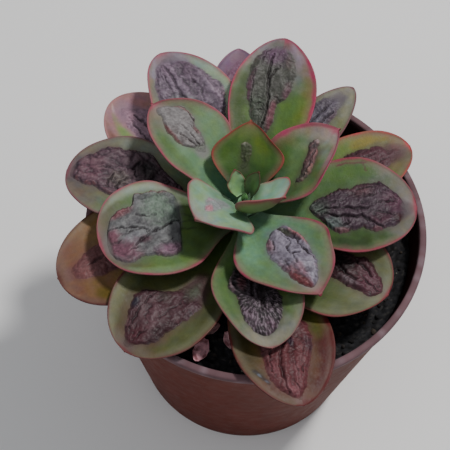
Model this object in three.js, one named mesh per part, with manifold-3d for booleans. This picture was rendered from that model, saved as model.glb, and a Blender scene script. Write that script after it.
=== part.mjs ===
// A potted echeveria with warty leaves: a rosette of broad succulent leaves on a short stem, most of
// them carrying a lumpy raised growth (a caruncle), in a round tapered plastic pot filled with soil.
// Millimetres, +Z up. The origin is the middle of the pot's base, which stands on the surface.
// Leaf and stem heights below are measured from the plane of the pot's rim.

import * as THREE from "three";
import Module from "manifold-3d";
import { mergeVertices } from "three/addons/utils/BufferGeometryUtils.js";

const wasm = await Module();
wasm.setup();

// Pot: outer sizes, wall, lip and underside.
const POT_HEIGHT = 125;
const RIM_RADIUS = 75;
const BASE_RADIUS = 55;
const WALL = 2.2;
const LIP_WIDTH = 3.2;
const LIP_HEIGHT = 4;
const FLOOR_THICKNESS = 3;
const HUB_RADIUS = 20;
const FOOT_WIDTH = 6;
const GROOVE_DEPTH = 3;
const DRAIN_COUNT = 6;
const DRAIN_RADIUS = 4;
const DRAIN_CIRCLE = 34;
const POT_SEGMENTS = 40;

// Soil: how far it stands below the rim and how rough it is, and the gap kept between solids.
const SOIL_DROP = 15;
const SOIL_LUMP = 0.9;
const SEAT_GAP = 0.3;

// Stem: where it stands in the pot, how deep it goes and how it narrows towards the heart.
const STEM_X = -6;
const STEM_Y = 0;
const STEM_BOTTOM = -44;
const STEM_TOP = 18;
const STEM_RADIUS = 6.5;
const STEM_TIP_RADIUS = 2.4;
const STEM_SIDES = 16;

// Leaf blade: thickness at the root and in the blade, at the margin and at the tip.
const ROOT_THICKNESS = 3.6;
const BLADE_THICKNESS = 2.8;
const MARGIN_SHARE = 0.28;
const TIP_SHARE = 0.45;
const POINT_LENGTH = 1.2;
const HANDLE = 0.36;
const LEAF_SHARES = [0, 0.1, 0.2, 0.31, 0.42, 0.53, 0.64, 0.74, 0.83, 0.91, 0.965, 1];
const LEAF_TOP_POINTS = 7;
const LEAF_UNDER_POINTS = 5;

// Growth on a leaf: gap to the leaf, height of its edge and the mesh that carries its lumps.
const GROWTH_GAP = 0.45;
const GROWTH_EDGE = 1.1;
const GROWTH_STEPS = 12;
const GROWTH_TOP_POINTS = 8;
const GROWTH_UNDER_POINTS = 3;
const LUMP_SIZE = 4.5;

// Colours.
const POT_COLOUR = 0x7d4f45;
const SOIL_COLOUR = 0x14110f;
const STEM_COLOUR = 0x8a8f6a;
const LEAF_COLOUR = 0x6f8a5c;
const HEART_COLOUR = 0x86a878;
const SHADE_COLOUR = 0x6b6338;
const GROWTH_COLOUR = 0x5d4453;
const PALE_GROWTH_COLOUR = 0x7c6c74;
const DRY_COLOUR = 0x9a5c63;

const plant = new THREE.Group();

function material(colour, roughness) {
  return new THREE.MeshStandardMaterial({ color: colour, roughness, metalness: 0 });
}

function smooth(from, to, x) {
  const s = Math.min(1, Math.max(0, (x - from) / (to - from)));
  return s * s * (3 - 2 * s);
}

// Repeatable lumps: values between -1 and 1 on a grid of whole numbers, blended between them.
function gridValue(i, j, seed) {
  const s = Math.sin(i * 127.1 + j * 311.7 + seed * 74.7) * 43758.5453;
  return 2 * (s - Math.floor(s)) - 1;
}

function lumps(x, y, seed) {
  const i = Math.floor(x);
  const j = Math.floor(y);
  const u = smooth(0, 1, x - i);
  const w = smooth(0, 1, y - j);
  const near = gridValue(i, j, seed) * (1 - u) + gridValue(i + 1, j, seed) * u;
  const far = gridValue(i, j + 1, seed) * (1 - u) + gridValue(i + 1, j + 1, seed) * u;
  return near * (1 - w) + far * w;
}

// A closed body from a row of rings with the same number of points, with a fan over each end.
function loft(rings) {
  const count = rings[0].length;
  const points = rings.flat();
  const faces = [];
  for (let i = 0; i + 1 < rings.length; i++) {
    for (let j = 0; j < count; j++) {
      const a = i * count + j;
      const b = i * count + ((j + 1) % count);
      faces.push([a, b, a + count]);
      faces.push([b, b + count, a + count]);
    }
  }
  for (const [ring, start] of [[rings[0], 0], [rings.at(-1), (rings.length - 1) * count]]) {
    const centre = new THREE.Vector3();
    for (const p of ring) {
      centre.addScaledVector(p, 1 / count);
    }
    points.push(centre);
    const c = points.length - 1;
    for (let j = 0; j < count; j++) {
      const a = start + j;
      const b = start + ((j + 1) % count);
      faces.push(start === 0 ? [c, b, a] : [c, a, b]);
    }
  }
  return body(points, faces);
}

// A geometry from points and faces, turned outside out if the faces run the wrong way round.
function body(points, faces) {
  let volume = 0;
  const cross = new THREE.Vector3();
  for (const [a, b, c] of faces) {
    volume += cross.crossVectors(points[a], points[b]).dot(points[c]);
  }
  const turned = volume < 0 ? faces.map(([a, b, c]) => [a, c, b]) : faces;
  const geometry = new THREE.BufferGeometry();
  const values = points.flatMap((p) => [p.x, p.y, p.z]);
  geometry.setAttribute("position", new THREE.Float32BufferAttribute(values, 3));
  geometry.setIndex(turned.flat());
  geometry.computeVertexNormals();
  return geometry;
}

function addMesh(name, geometry, colour, roughness) {
  const mesh = new THREE.Mesh(geometry, material(colour, roughness));
  mesh.name = name;
  plant.add(mesh);
  return mesh;
}

// Pot: a turned wall with a lip, a foot ring, a middle hub and drain holes between them.
function potRadius(z) {
  return BASE_RADIUS + ((RIM_RADIUS - 1.2 - BASE_RADIUS) * z) / (POT_HEIGHT - LIP_HEIGHT);
}

function solidFrom(geometry) {
  const plain = geometry.clone();
  plain.deleteAttribute("normal");
  plain.deleteAttribute("uv");
  const merged = mergeVertices(plain, 1e-3);
  return new wasm.Manifold(new wasm.Mesh({
    numProp: 3,
    vertProperties: Float32Array.from(merged.attributes.position.array),
    triVerts: Uint32Array.from(merged.index.array),
  }));
}

function geometryFrom(solid) {
  const mesh = solid.getMesh();
  const geometry = new THREE.BufferGeometry();
  geometry.setAttribute("position", new THREE.BufferAttribute(Float32Array.from(mesh.vertProperties), 3));
  geometry.setIndex(new THREE.BufferAttribute(Uint32Array.from(mesh.triVerts), 1));
  geometry.computeVertexNormals();
  return geometry;
}

const floorTop = GROOVE_DEPTH + FLOOR_THICKNESS;
const footInner = BASE_RADIUS - FOOT_WIDTH;
const potProfile = [
  [0, 0],
  [HUB_RADIUS, 0],
  [HUB_RADIUS + 1.5, GROOVE_DEPTH],
  [footInner - 1.5, GROOVE_DEPTH],
  [footInner, 0],
  [BASE_RADIUS, 0],
  [potRadius(POT_HEIGHT / 2), POT_HEIGHT / 2],
  [potRadius(POT_HEIGHT - LIP_HEIGHT), POT_HEIGHT - LIP_HEIGHT],
  [RIM_RADIUS - 0.3, POT_HEIGHT - LIP_HEIGHT + 0.9],
  [RIM_RADIUS, POT_HEIGHT - 0.9],
  [RIM_RADIUS - 0.8, POT_HEIGHT],
  [RIM_RADIUS - LIP_WIDTH + 0.7, POT_HEIGHT],
  [RIM_RADIUS - LIP_WIDTH, POT_HEIGHT - 0.8],
  [potRadius(POT_HEIGHT - LIP_HEIGHT) - WALL, POT_HEIGHT - LIP_HEIGHT],
  [potRadius(floorTop) - WALL, floorTop],
  [0, floorTop],
];
const potOutline = potProfile.map(([r, z]) => new THREE.Vector2(r, z));
const potTurned = new THREE.LatheGeometry(potOutline, POT_SEGMENTS);
potTurned.rotateX(Math.PI / 2);
let potSolid = solidFrom(potTurned);
for (let i = 0; i < DRAIN_COUNT; i++) {
  const angle = (i * 2 * Math.PI) / DRAIN_COUNT;
  const drain = new THREE.CylinderGeometry(DRAIN_RADIUS, DRAIN_RADIUS, 4 * FLOOR_THICKNESS, 16);
  drain.rotateX(Math.PI / 2);
  const drainX = DRAIN_CIRCLE * Math.cos(angle);
  const drainY = DRAIN_CIRCLE * Math.sin(angle);
  drain.translate(drainX, drainY, floorTop - FLOOR_THICKNESS / 2);
  potSolid = potSolid.subtract(solidFrom(drain));
}
addMesh("pot", geometryFrom(potSolid), POT_COLOUR, 0.55);

// Soil: fills the pot from the floor, with a lumpy face and a plain hole for the stem. The rings of its
// face go from round the pot's middle to round the stem, which stands a little off the middle.
function soilLump(x, y) {
  return SOIL_LUMP * (lumps(x / 9, y / 9, 3) + 0.5 * lumps(x / 4, y / 4, 4));
}

function soilRing(radius, z, centreX, centreY, rough) {
  const ring = [];
  for (let i = 0; i < POT_SEGMENTS; i++) {
    const angle = (i * 2 * Math.PI) / POT_SEGMENTS;
    const x = centreX + radius * Math.cos(angle);
    const y = centreY + radius * Math.sin(angle);
    ring.push(new THREE.Vector3(x, y, z + rough * soilLump(x, y)));
  }
  return ring;
}

const soilTop = POT_HEIGHT - SOIL_DROP;
const soilBottom = floorTop + SEAT_GAP;
const holeRadius = STEM_RADIUS + SEAT_GAP;
const holeBottom = POT_HEIGHT + STEM_BOTTOM - SEAT_GAP;
const soilEdge = potRadius(soilTop) - WALL - SEAT_GAP - 0.3;
const soilRings = [
  soilRing(1, holeBottom, STEM_X, STEM_Y, 0),
  soilRing(holeRadius, holeBottom, STEM_X, STEM_Y, 0),
  soilRing(holeRadius, soilTop, STEM_X, STEM_Y, 0),
  soilRing(holeRadius + 5, soilTop, STEM_X, STEM_Y, 1),
  soilRing(22, soilTop, STEM_X * 0.8, STEM_Y, 1),
  soilRing(33, soilTop, STEM_X * 0.6, STEM_Y, 1),
  soilRing(44, soilTop, STEM_X * 0.3, STEM_Y, 1),
  soilRing(54, soilTop, 0, 0, 1),
  soilRing(62, soilTop, 0, 0, 1),
  soilRing(soilEdge - 2, soilTop + 0.3, 0, 0, 0.5),
  soilRing(soilEdge, soilTop - 1, 0, 0, 0),
  soilRing(potRadius(soilBottom) - WALL - SEAT_GAP - 0.3, soilBottom, 0, 0, 0),
  soilRing(1, soilBottom, 0, 0, 0),
];
addMesh("soil", loft(soilRings), SOIL_COLOUR, 0.95);

// Stem: thick in the soil, narrowing towards the heart, with the scars of shed leaves as faint rings.
function stemRadius(h) {
  const s = Math.min(1, Math.max(0, (h + SOIL_DROP) / (STEM_TOP + SOIL_DROP)));
  return STEM_RADIUS + (STEM_TIP_RADIUS - STEM_RADIUS) * s * s;
}

const stemRings = [];
for (const h of [STEM_BOTTOM, -SOIL_DROP, -9, -4, 1, 6, 10, 14, STEM_TOP - 0.8, STEM_TOP]) {
  const end = h === STEM_TOP ? 0.6 : 1;
  const ring = [];
  for (let i = 0; i < STEM_SIDES; i++) {
    const angle = (i * 2 * Math.PI) / STEM_SIDES;
    const scar = 0.04 * Math.abs(Math.sin(h * 2.1)) * smooth(-13, -9, h);
    const r = stemRadius(h) * end * (1 - scar);
    const x = STEM_X + r * Math.cos(angle);
    const y = STEM_Y + r * Math.sin(angle);
    ring.push(new THREE.Vector3(x, y, POT_HEIGHT + h));
  }
  stemRings.push(ring);
}
addMesh("stem", loft(stemRings), STEM_COLOUR, 0.8);

// A leaf: its midrib is a curve in the upright plane of its azimuth, from the stem to its tip, and its
// upper face is spread on both sides of the midrib. Values beyond the first seven have usual settings.
// Each swell widens or narrows one side: side (1 left, -1 right), place and spread along it, and amount.
class Leaf {
  constructor(azimuth, root, reach, tip, rootRise, tipRise, width, more = {}) {
    this.angle = THREE.MathUtils.degToRad(azimuth);
    this.width = width;
    this.cup = more.cup ?? 0.15;
    this.shoulder = more.shoulder ?? 0.6;
    this.blunt = more.blunt ?? 0.55;
    this.power = more.power ?? 2.2;
    this.bow = more.bow ?? 0;
    this.hook = more.hook ?? 0;
    this.roll = THREE.MathUtils.degToRad(more.roll ?? 0);
    this.neck = more.neck ?? 0.26;
    this.wave = more.wave ?? 0.5;
    this.thick = more.thick ?? 1;
    this.swells = more.swells ?? [];
    this.out = new THREE.Vector3(Math.cos(this.angle), Math.sin(this.angle), 0);
    this.side = new THREE.Vector3(-Math.sin(this.angle), Math.cos(this.angle), 0);
    const rise0 = THREE.MathUtils.degToRad(rootRise);
    const rise1 = THREE.MathUtils.degToRad(tipRise);
    const start = new THREE.Vector2(stemRadius(root - 1) + SEAT_GAP, root);
    const end = new THREE.Vector2(reach, tip);
    const handle = HANDLE * start.distanceTo(end);
    this.curve = new THREE.CubicBezierCurve(
      start,
      new THREE.Vector2(start.x + handle * Math.cos(rise0), start.y + handle * Math.sin(rise0)),
      new THREE.Vector2(end.x - handle * Math.cos(rise1), end.y - handle * Math.sin(rise1)),
      end,
    );
  }

  halfWidth(t) {
    const x = Math.min(1, t / this.shoulder);
    const u = Math.max(0, (t - this.shoulder) / (1 - this.shoulder));
    const widening = this.neck + (1 - this.neck) * Math.sin((Math.PI / 2) * x) ** 1.5;
    const share = u > 0 ? Math.max(0, 1 - u ** this.power) ** this.blunt : widening;
    return Math.max((this.width / 2) * share, 0.5);
  }

  thickness(t, v) {
    const along = ROOT_THICKNESS + (BLADE_THICKNESS - ROOT_THICKNESS) * smooth(0, 0.45, t);
    const tipped = along * (1 - (1 - TIP_SHARE) * smooth(0.8, 1, t));
    return Math.max(0.65, this.thick * tipped * (1 - (1 - MARGIN_SHARE) * v * v));
  }

  // The point at share t along the leaf and v across it (-1 to 1), raised by lift over the upper face.
  point(t, v, lift) {
    const m = this.curve.getPoint(t);
    const d = this.curve.getTangent(t);
    const half = this.halfWidth(t);
    const wave = this.wave * Math.sin(t * 17 + this.angle * 5 + (v > 0 ? 2 : 0)) * Math.abs(v) ** 3;
    const rise = this.cup * half * v * v + wave * smooth(0.25, 0.5, t) * smooth(1, 0.85, t) + lift;
    const roll = this.roll * smooth(0, 0.5, t);
    const up = v * half * Math.sin(roll) + rise * Math.cos(roll);
    const across = v * half * Math.cos(roll) - rise * Math.sin(roll);
    let shift = this.bow * Math.sin(Math.PI * t) + this.hook * t ** 3;
    for (const [side, middle, spread, amount] of this.swells) {
      const bell = Math.exp(-(((t - middle) / spread) ** 2));
      shift += side * amount * bell * Math.max(0, side * v) ** 1.5;
    }
    const p = new THREE.Vector3(STEM_X, STEM_Y, POT_HEIGHT + m.y + d.x * up);
    p.addScaledVector(this.out, m.x - d.y * up);
    p.addScaledVector(this.side, across + shift);
    return p;
  }

  solid() {
    const rings = LEAF_SHARES.map((t) => this.ring(t));
    const last = rings.at(-1);
    const d = this.curve.getTangent(1);
    const step = this.out.clone().multiplyScalar(d.x * POINT_LENGTH);
    step.z = d.y * POINT_LENGTH;
    const middle = this.point(1, 0, -0.4);
    rings.push(last.map((p) => p.clone().sub(middle).multiplyScalar(0.55).add(middle).add(step)));
    return loft(rings);
  }

  ring(t) {
    const ring = [];
    for (let i = 0; i < LEAF_TOP_POINTS; i++) {
      ring.push(this.point(t, (2 * i) / (LEAF_TOP_POINTS - 1) - 1, 0));
    }
    for (let i = 0; i < LEAF_UNDER_POINTS; i++) {
      const v = 1 - (2 * i) / (LEAF_UNDER_POINTS - 1);
      ring.push(this.point(t, v, -this.thickness(t, v)));
    }
    return ring;
  }
}

// A growth on a leaf: it runs between two shares of the leaf's length, its left and right edges (seen from
// the stem, right is negative) are given at even steps, and its height is the top of its folds.
function edgeAt(values, u) {
  const points = values.map((v, i) => new THREE.Vector2(i / (values.length - 1), v));
  return new THREE.SplineCurve(points).getPoint(u).y;
}

function growthSolid(leaf, from, to, right, left, height, seed) {
  const rings = [];
  const middleHalf = leaf.halfWidth((from + to) / 2);
  const length = leaf.curve.getLength() * (to - from);
  for (let i = 0; i <= GROWTH_STEPS; i++) {
    const u = i / GROWTH_STEPS;
    const t = from + (to - from) * u;
    const half = leaf.halfWidth(t);
    const ragged = 0.06 * lumps((u * length) / 3.5, 0.5, seed + 1);
    const raggedToo = 0.06 * lumps((u * length) / 3.5, 5.5, seed + 2);
    const vRight = Math.max(-0.93, edgeAt(right, u) + ragged);
    const vLeft = Math.min(0.93, edgeAt(left, u) + raggedToo);
    const least = 1 / half;
    const middle = (vRight + vLeft) / 2;
    const spread = Math.max(least, (vLeft - vRight) / 2);
    const ring = [];
    for (let j = 0; j < GROWTH_TOP_POINTS; j++) {
      const w = (2 * j) / (GROWTH_TOP_POINTS - 1) - 1;
      const v = middle + w * spread;
      const dome = Math.sqrt(1 - 0.85 * w * w) * Math.sin(Math.PI * (0.12 + 0.76 * u)) ** 0.5;
      const bumps = lumps((u * length) / LUMP_SIZE, (v * middleHalf) / LUMP_SIZE, seed);
      const fold = Math.sin((v * middleHalf) / 1.6 + 3 * u + seed) * 0.18;
      const inner = Math.abs(w) < 1 && i > 0 && i < GROWTH_STEPS ? 1 : 0;
      const lift = GROWTH_EDGE + (height - GROWTH_EDGE) * dome * (0.62 + inner * (0.34 * bumps + fold));
      ring.push(leaf.point(t, v, GROWTH_GAP + Math.max(0.8, lift)));
    }
    for (let j = 0; j < GROWTH_UNDER_POINTS; j++) {
      const w = 1 - (2 * j) / (GROWTH_UNDER_POINTS - 1);
      ring.push(leaf.point(t, middle + w * spread, GROWTH_GAP));
    }
    rings.push(ring);
  }
  return loft(rings);
}

// The leaves, from the heart outwards: azimuth of the tip round the stem (degrees, 0 along +X,
// anticlockwise from above), height of the root, reach of the tip from the stem's axis, height of
// the tip, rise at the root and at the tip (degrees), and width.
const leaves = {
  leaf_01: new Leaf(50, 19, 8, 30, 75, 60, 7, {
    cup: 0.3, shoulder: 0.5, blunt: 0.8, neck: 0.6, thick: 0.45, wave: 0,
  }),
  leaf_02: new Leaf(122, 18, 9, 28.5, 60, 60, 8, {
    cup: 0.3, shoulder: 0.5, blunt: 0.8, bow: 1.2, neck: 0.6, thick: 0.45,
  }),
  leaf_03: new Leaf(330, 18, 16, 28, 40, 0, 24, {
    cup: 0.5, roll: -20, blunt: 0.45, bow: -2, hook: 5, neck: 0.55, wave: 0.2,
  }),
  leaf_04: new Leaf(226, 15, 28, 34, 50, 20, 35, {
    cup: 0.12, shoulder: 0.5, blunt: 0.75, power: 1.9, neck: 0.3, swells: [[1, 0.8, 0.15, -2]],
  }),
  leaf_05: new Leaf(88, 16, 31, 32, 38, 30, 31, {
    cup: 0.25, shoulder: 0.52, blunt: 0.9, power: 1.7, neck: 0.3, wave: 0.2,
    swells: [[-1, 0.75, 0.15, -2.2], [1, 0.8, 0.12, -0.6]],
  }),
  leaf_06: new Leaf(35, 11.5, 49, 31, 30, 10, 31, {
    cup: 0.3, shoulder: 0.5, blunt: 0.85, bow: -1, hook: 2, swells: [[-1, 0.75, 0.2, -2.5]],
  }),
  leaf_07: new Leaf(303, 10, 53.5, 18, 15, -8, 42, {
    cup: 0.12, shoulder: 0.48, blunt: 0.85, power: 1.8, hook: 3.5,
    swells: [[1, 0.84, 0.14, 2.5], [1, 0.5, 0.12, 1.4], [-1, 0.4, 0.2, -1]],
  }),
  leaf_08: new Leaf(139, 10, 55, 33, 30, 20, 32, {
    cup: 0.2, blunt: 0.65, bow: -3, swells: [[-1, 0.6, 0.25, 1.5]],
  }),
  leaf_09: new Leaf(202, 5.5, 64, 15, 15, -5, 46, {
    cup: 0.15, shoulder: 0.62, blunt: 0.5, swells: [[1, 0.36, 0.18, 2.6]],
  }),
  leaf_10: new Leaf(79, 6.5, 78, 33, 26, 20, 37, {
    cup: 0.2, blunt: 0.65, neck: 0.24, swells: [[-1, 0.75, 0.3, 1.4], [1, 0.4, 0.2, -1]],
  }),
  leaf_11: new Leaf(4, 4.5, 75, 11, 14, -2, 47, { cup: 0.15 }),
  leaf_12: new Leaf(282, 2.8, 65.5, 9.5, 15, -8, 38, {
    cup: 0.15, blunt: 0.62, bow: -2, swells: [[-1, 0.76, 0.2, -3]],
  }),
  leaf_13: new Leaf(170, -1.2, 79, 12, 12, 2, 42, {
    cup: 0.15, shoulder: 0.64, blunt: 0.52, bow: -3,
  }),
  leaf_14: new Leaf(118, 2.5, 81, 26, 20, 12, 37, {
    cup: 0.2, shoulder: 0.64, blunt: 0.62, hook: 4, neck: 0.24,
    swells: [[1, 0.8, 0.2, -2.5], [-1, 0.72, 0.25, 3]],
  }),
  leaf_15: new Leaf(327, -2, 71, 4, 13, -8, 46, {
    cup: 0.12, blunt: 0.6, bow: -1, hook: 5, swells: [[-1, 0.85, 0.15, 1.2]],
  }),
  leaf_16: new Leaf(28, -7, 83.5, 8, 12, 0, 34, { cup: 0.15, shoulder: 0.62 }),
  leaf_17: new Leaf(236, -3.9, 81, 6, 13, -8, 44, {
    cup: 0.08, roll: -4, shoulder: 0.62, blunt: 0.52,
  }),
  leaf_18: new Leaf(288, -7, 89, 2, 12, -8, 42, {
    cup: 0.06, roll: -3, shoulder: 0.62, blunt: 0.58, swells: [[-1, 0.75, 0.15, 0.8]],
  }),
  leaf_19: new Leaf(54.5, -2, 78.5, 18, 15, 10, 22, {
    cup: 0.2, shoulder: 0.62, blunt: 0.65, hook: -2,
  }),
  leaf_20: new Leaf(138, -5.2, 83, 9, 8, 2, 38, { cup: 0.1, shoulder: 0.64 }),
  leaf_21: new Leaf(94, -9.5, 82, 18, 20, 14, 31, { cup: 0.2, blunt: 0.68 }),
  leaf_22: new Leaf(204, -9, 84, 3, 14, -6, 48, {
    cup: 0.1, shoulder: 0.62, blunt: 0.52, bow: -2, swells: [[-1, 0.85, 0.15, -2], [1, 0.8, 0.2, 1]],
  }),
};
for (const [name, leaf] of Object.entries(leaves)) {
  const rootHeight = leaf.curve.v0.y;
  const outer = rootHeight < -6 ? SHADE_COLOUR : LEAF_COLOUR;
  addMesh(name, leaf.solid(), rootHeight > 14 ? HEART_COLOUR : outer, 0.6);
}

// The growths: leaf, shares of the leaf's length at their two ends, right edge, left edge and height.
const growths = [
  ["leaf_04", 0.24, 0.78,
    [-0.25, -0.38, -0.38, -0.18], [-0.03, 0.01, 0.03, -0.03], 1.7],
  ["leaf_05", 0.35, 0.7,
    [0.04, -0.03, -0.11, -0.02], [0.18, 0.2, 0.23, 0.26], 1.6],
  ["leaf_06", 0.4, 0.79,
    [-0.46, -0.46, -0.36, -0.16, 0.08], [-0.3, -0.06, 0.1, 0.3, 0.3], 2.4],
  ["leaf_07", 0.3, 0.92,
    [0.02, -0.23, -0.26, -0.29, -0.34, -0.2], [0.6, 0.56, 0.55, 0.58, 0.52, 0.25], 3.4],
  ["leaf_08", 0.48, 0.95,
    [-0.18, -0.31, -0.39, -0.55, -0.64, -0.3], [0.1, 0.26, 0.38, 0.4, 0.3, 0.2], 3],
  ["leaf_09", 0.43, 0.96,
    [-0.78, -0.82, -0.8, -0.64, -0.58, -0.3], [0.38, 0.62, 0.54, 0.57, 0.72, 0.5], 3.4],
  ["leaf_10", 0.41, 0.96,
    [-0.1, -0.2, -0.34, -0.48, -0.54, -0.4], [0.26, 0.45, 0.63, 0.72, 0.78, 0.55], 3],
  ["leaf_11", 0.33, 0.95,
    [-0.1, -0.5, -0.56, -0.54, -0.58, -0.3], [0.1, 0.34, 0.42, 0.52, 0.56, 0.3], 3],
  ["leaf_12", 0.33, 0.9,
    [-0.4, -0.58, -0.58, -0.5, -0.52, -0.3], [0.12, 0.3, 0.47, 0.54, 0.51, 0.25], 2.7],
  ["leaf_13", 0.33, 0.97,
    [-0.5, -0.7, -0.78, -0.76, -0.72, -0.5], [0.1, 0.25, 0.4, 0.42, 0.38, 0.3], 2.8],
  ["leaf_14", 0.43, 0.96,
    [-0.5, -0.68, -0.82, -0.8, -0.7, -0.4], [0, 0.24, 0.52, 0.76, 0.66, 0.3], 2.7],
  ["leaf_15", 0.4, 0.95,
    [-0.14, -0.18, -0.18, -0.19, -0.26, -0.3], [0.24, 0.4, 0.46, 0.54, 0.52, 0.25], 2.4],
  ["leaf_16", 0.5, 0.95,
    [-0.24, -0.36, -0.42, -0.4, -0.15], [0.26, 0.47, 0.51, 0.46, 0.15], 2],
  ["leaf_17", 0.38, 0.97,
    [0.12, 0.02, -0.3, -0.56, -0.45, -0.3], [0.3, 0.56, 0.57, 0.46, 0.46, 0.12], 2.6],
  ["leaf_18", 0.46, 0.97,
    [-0.34, -0.45, -0.5, -0.54, -0.6, -0.3], [0.3, 0.5, 0.6, 0.5, 0.33, 0.1], 2.5],
  ["leaf_19", 0.5, 0.9,
    [-0.26, -0.33, -0.34, -0.15], [0.45, 0.7, 0.82, 0.55], 2],
  ["leaf_20", 0.45, 0.92,
    [-0.42, -0.55, -0.56, -0.5, -0.1], [0.12, 0.25, 0.32, 0.34, 0.15], 2.1],
  ["leaf_21", 0.52, 0.95,
    [-0.4, -0.6, -0.64, -0.4], [0.4, 0.6, 0.64, 0.4], 2],
  ["leaf_22", 0.5, 0.92,
    [-0.34, -0.4, -0.4, -0.31, -0.15], [0.14, 0.26, 0.3, 0.33, 0.26], 2.1],
];
const paleGrowths = ["leaf_04", "leaf_07", "leaf_08", "leaf_09"];
growths.forEach(([name, from, to, right, left, height], i) => {
  const geometry = growthSolid(leaves[name], from, to, right, left, height, 11 + 7 * i);
  const colour = paleGrowths.includes(name) ? PALE_GROWTH_COLOUR : GROWTH_COLOUR;
  addMesh(name.replace("leaf", "growth"), geometry, colour, 0.7);
});

// Bud: the closed heart of the rosette, a pointed drop on the end of the stem.
const budBase = POT_HEIGHT + STEM_TOP + SEAT_GAP;
const budRings = [[0, 1], [0.8, 1.7], [2, 1.9], [3.6, 1.3], [5, 0.35]].map(([rise, r]) => {
  const ring = [];
  for (let i = 0; i < 10; i++) {
    const angle = (i * 2 * Math.PI) / 10;
    const fold = 1 - 0.25 * Math.cos(2 * angle + 0.6);
    const x = STEM_X + r * fold * Math.cos(angle);
    const y = STEM_Y + r * Math.sin(angle);
    ring.push(new THREE.Vector3(x, y, budBase + rise));
  }
  return ring;
});
addMesh("bud", loft(budRings), HEART_COLOUR, 0.6);

// Shed leaves, dried and curled, lying on the soil under the front of the plant: place, direction of the
// tip (degrees), length, width, curl of the ends and height over the soil's level.
const shedLeaves = {
  shed_leaf_1: [-21, -56.5, 250, 11, 6.5, 1.4, 0.05],
  shed_leaf_2: [-17, -46.5, 215, 8, 4, 1, 0.15],
  shed_leaf_3: [-9.5, -51.5, 110, 8, 4, 1.2, 0.35],
};
const shedUpper = [-1, -0.5, 0, 0.5, 1].map((v) => [v, 1]);
const shedUnder = [1, 0.5, 0, -0.5, -1].map((v) => [v, 0]);
const shedSection = [...shedUpper, ...shedUnder];
for (const [name, [x, y, azimuth, length, width, curl, height]] of Object.entries(shedLeaves)) {
  const angle = THREE.MathUtils.degToRad(azimuth);
  const rings = [0, 0.15, 0.35, 0.6, 0.8, 0.94, 1].map((t) => {
    const half = Math.max(0.5, (width / 2) * Math.sin(Math.PI * (0.08 + 0.86 * t)) ** 0.8);
    const ring = [];
    for (const [v, w] of shedSection) {
      const along = (t - 0.5) * length;
      const across = v * half;
      const rise = curl * ((2 * t - 1) ** 2 * 0.6 + v * v * 0.5) + 0.9 * w;
      ring.push(new THREE.Vector3(
        x + along * Math.cos(angle) - across * Math.sin(angle),
        y + along * Math.sin(angle) + across * Math.cos(angle),
        soilTop + height + rise,
      ));
    }
    return ring;
  });
  addMesh(name, loft(rings), DRY_COLOUR, 0.85);
}

export default plant;
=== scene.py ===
import math
from types import SimpleNamespace

import bmesh
import bpy
import numpy as np
from mathutils import Matrix, Vector


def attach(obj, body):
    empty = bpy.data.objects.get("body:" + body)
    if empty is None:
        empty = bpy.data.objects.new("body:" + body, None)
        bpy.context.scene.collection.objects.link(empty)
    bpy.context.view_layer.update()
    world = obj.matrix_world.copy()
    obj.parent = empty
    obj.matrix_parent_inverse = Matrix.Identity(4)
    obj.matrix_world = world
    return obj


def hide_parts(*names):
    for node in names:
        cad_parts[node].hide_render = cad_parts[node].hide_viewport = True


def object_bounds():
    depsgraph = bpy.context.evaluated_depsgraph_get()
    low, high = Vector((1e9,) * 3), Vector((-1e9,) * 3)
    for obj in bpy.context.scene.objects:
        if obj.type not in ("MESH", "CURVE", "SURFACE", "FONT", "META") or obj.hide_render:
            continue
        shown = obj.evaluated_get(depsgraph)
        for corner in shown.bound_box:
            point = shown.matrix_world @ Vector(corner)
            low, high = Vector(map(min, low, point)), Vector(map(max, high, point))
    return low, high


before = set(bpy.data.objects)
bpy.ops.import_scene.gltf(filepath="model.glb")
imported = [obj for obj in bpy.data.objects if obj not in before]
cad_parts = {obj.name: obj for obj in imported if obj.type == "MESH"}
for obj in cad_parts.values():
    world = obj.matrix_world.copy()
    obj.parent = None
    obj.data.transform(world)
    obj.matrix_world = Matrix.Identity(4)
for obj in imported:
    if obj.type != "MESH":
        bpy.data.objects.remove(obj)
cad_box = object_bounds()

# Sizes in millimetres, the same named values as the solids; MM turns them into metres.
MM = 0.001
POT_HEIGHT = 125.0
RIM_RADIUS = 75.0
BASE_RADIUS = 55.0
WALL = 2.2
LIP_WIDTH = 3.2
LIP_HEIGHT = 4.0
FLOOR_THICKNESS = 3.0
HUB_RADIUS = 20.0
FOOT_WIDTH = 6.0
GROOVE_DEPTH = 3.0
DRAIN_COUNT = 6
DRAIN_RADIUS = 4.0
DRAIN_CIRCLE = 34.0
SOIL_DROP = 15.0
STEM_X = -6.0
STEM_Y = 0.0
STEM_BOTTOM = -44.0
STEM_TOP = 18.0
STEM_RADIUS = 6.5
STEM_TIP_RADIUS = 2.4
ROOT_THICKNESS = 3.6
BLADE_THICKNESS = 2.8
MARGIN_SHARE = 0.28
TIP_SHARE = 0.45
HANDLE = 0.36
# Steps of the finest meshes, along and across.
LEAF_STEP = 0.62
GROWTH_STEP = 0.3
GROWTH_STEP_ACROSS = 0.34
# The leaf's margin stands out by its round, and its underside has a keel.
MARGIN_ROUND = 0.22
KEEL_HEIGHT = 0.35
KEEL_WIDTH = 2.2
SMALL_LEAF = 10.0
# A growth's ends close in a round, and its relief ends under the leaf's face.
END_ROUND = 1.8
FOOT_DEPTH = 0.25


def srgb(colour):
    """Linear values of an sRGB triple from 0 to 255."""
    v = np.array(colour, float) / 255.0
    return np.where(v <= 0.04045, v / 12.92, ((v + 0.055) / 1.055) ** 2.4)


def smooth(a, b, x):
    s = np.clip((x - a) / (b - a), 0.0, 1.0)
    return s * s * (3 - 2 * s)


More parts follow.
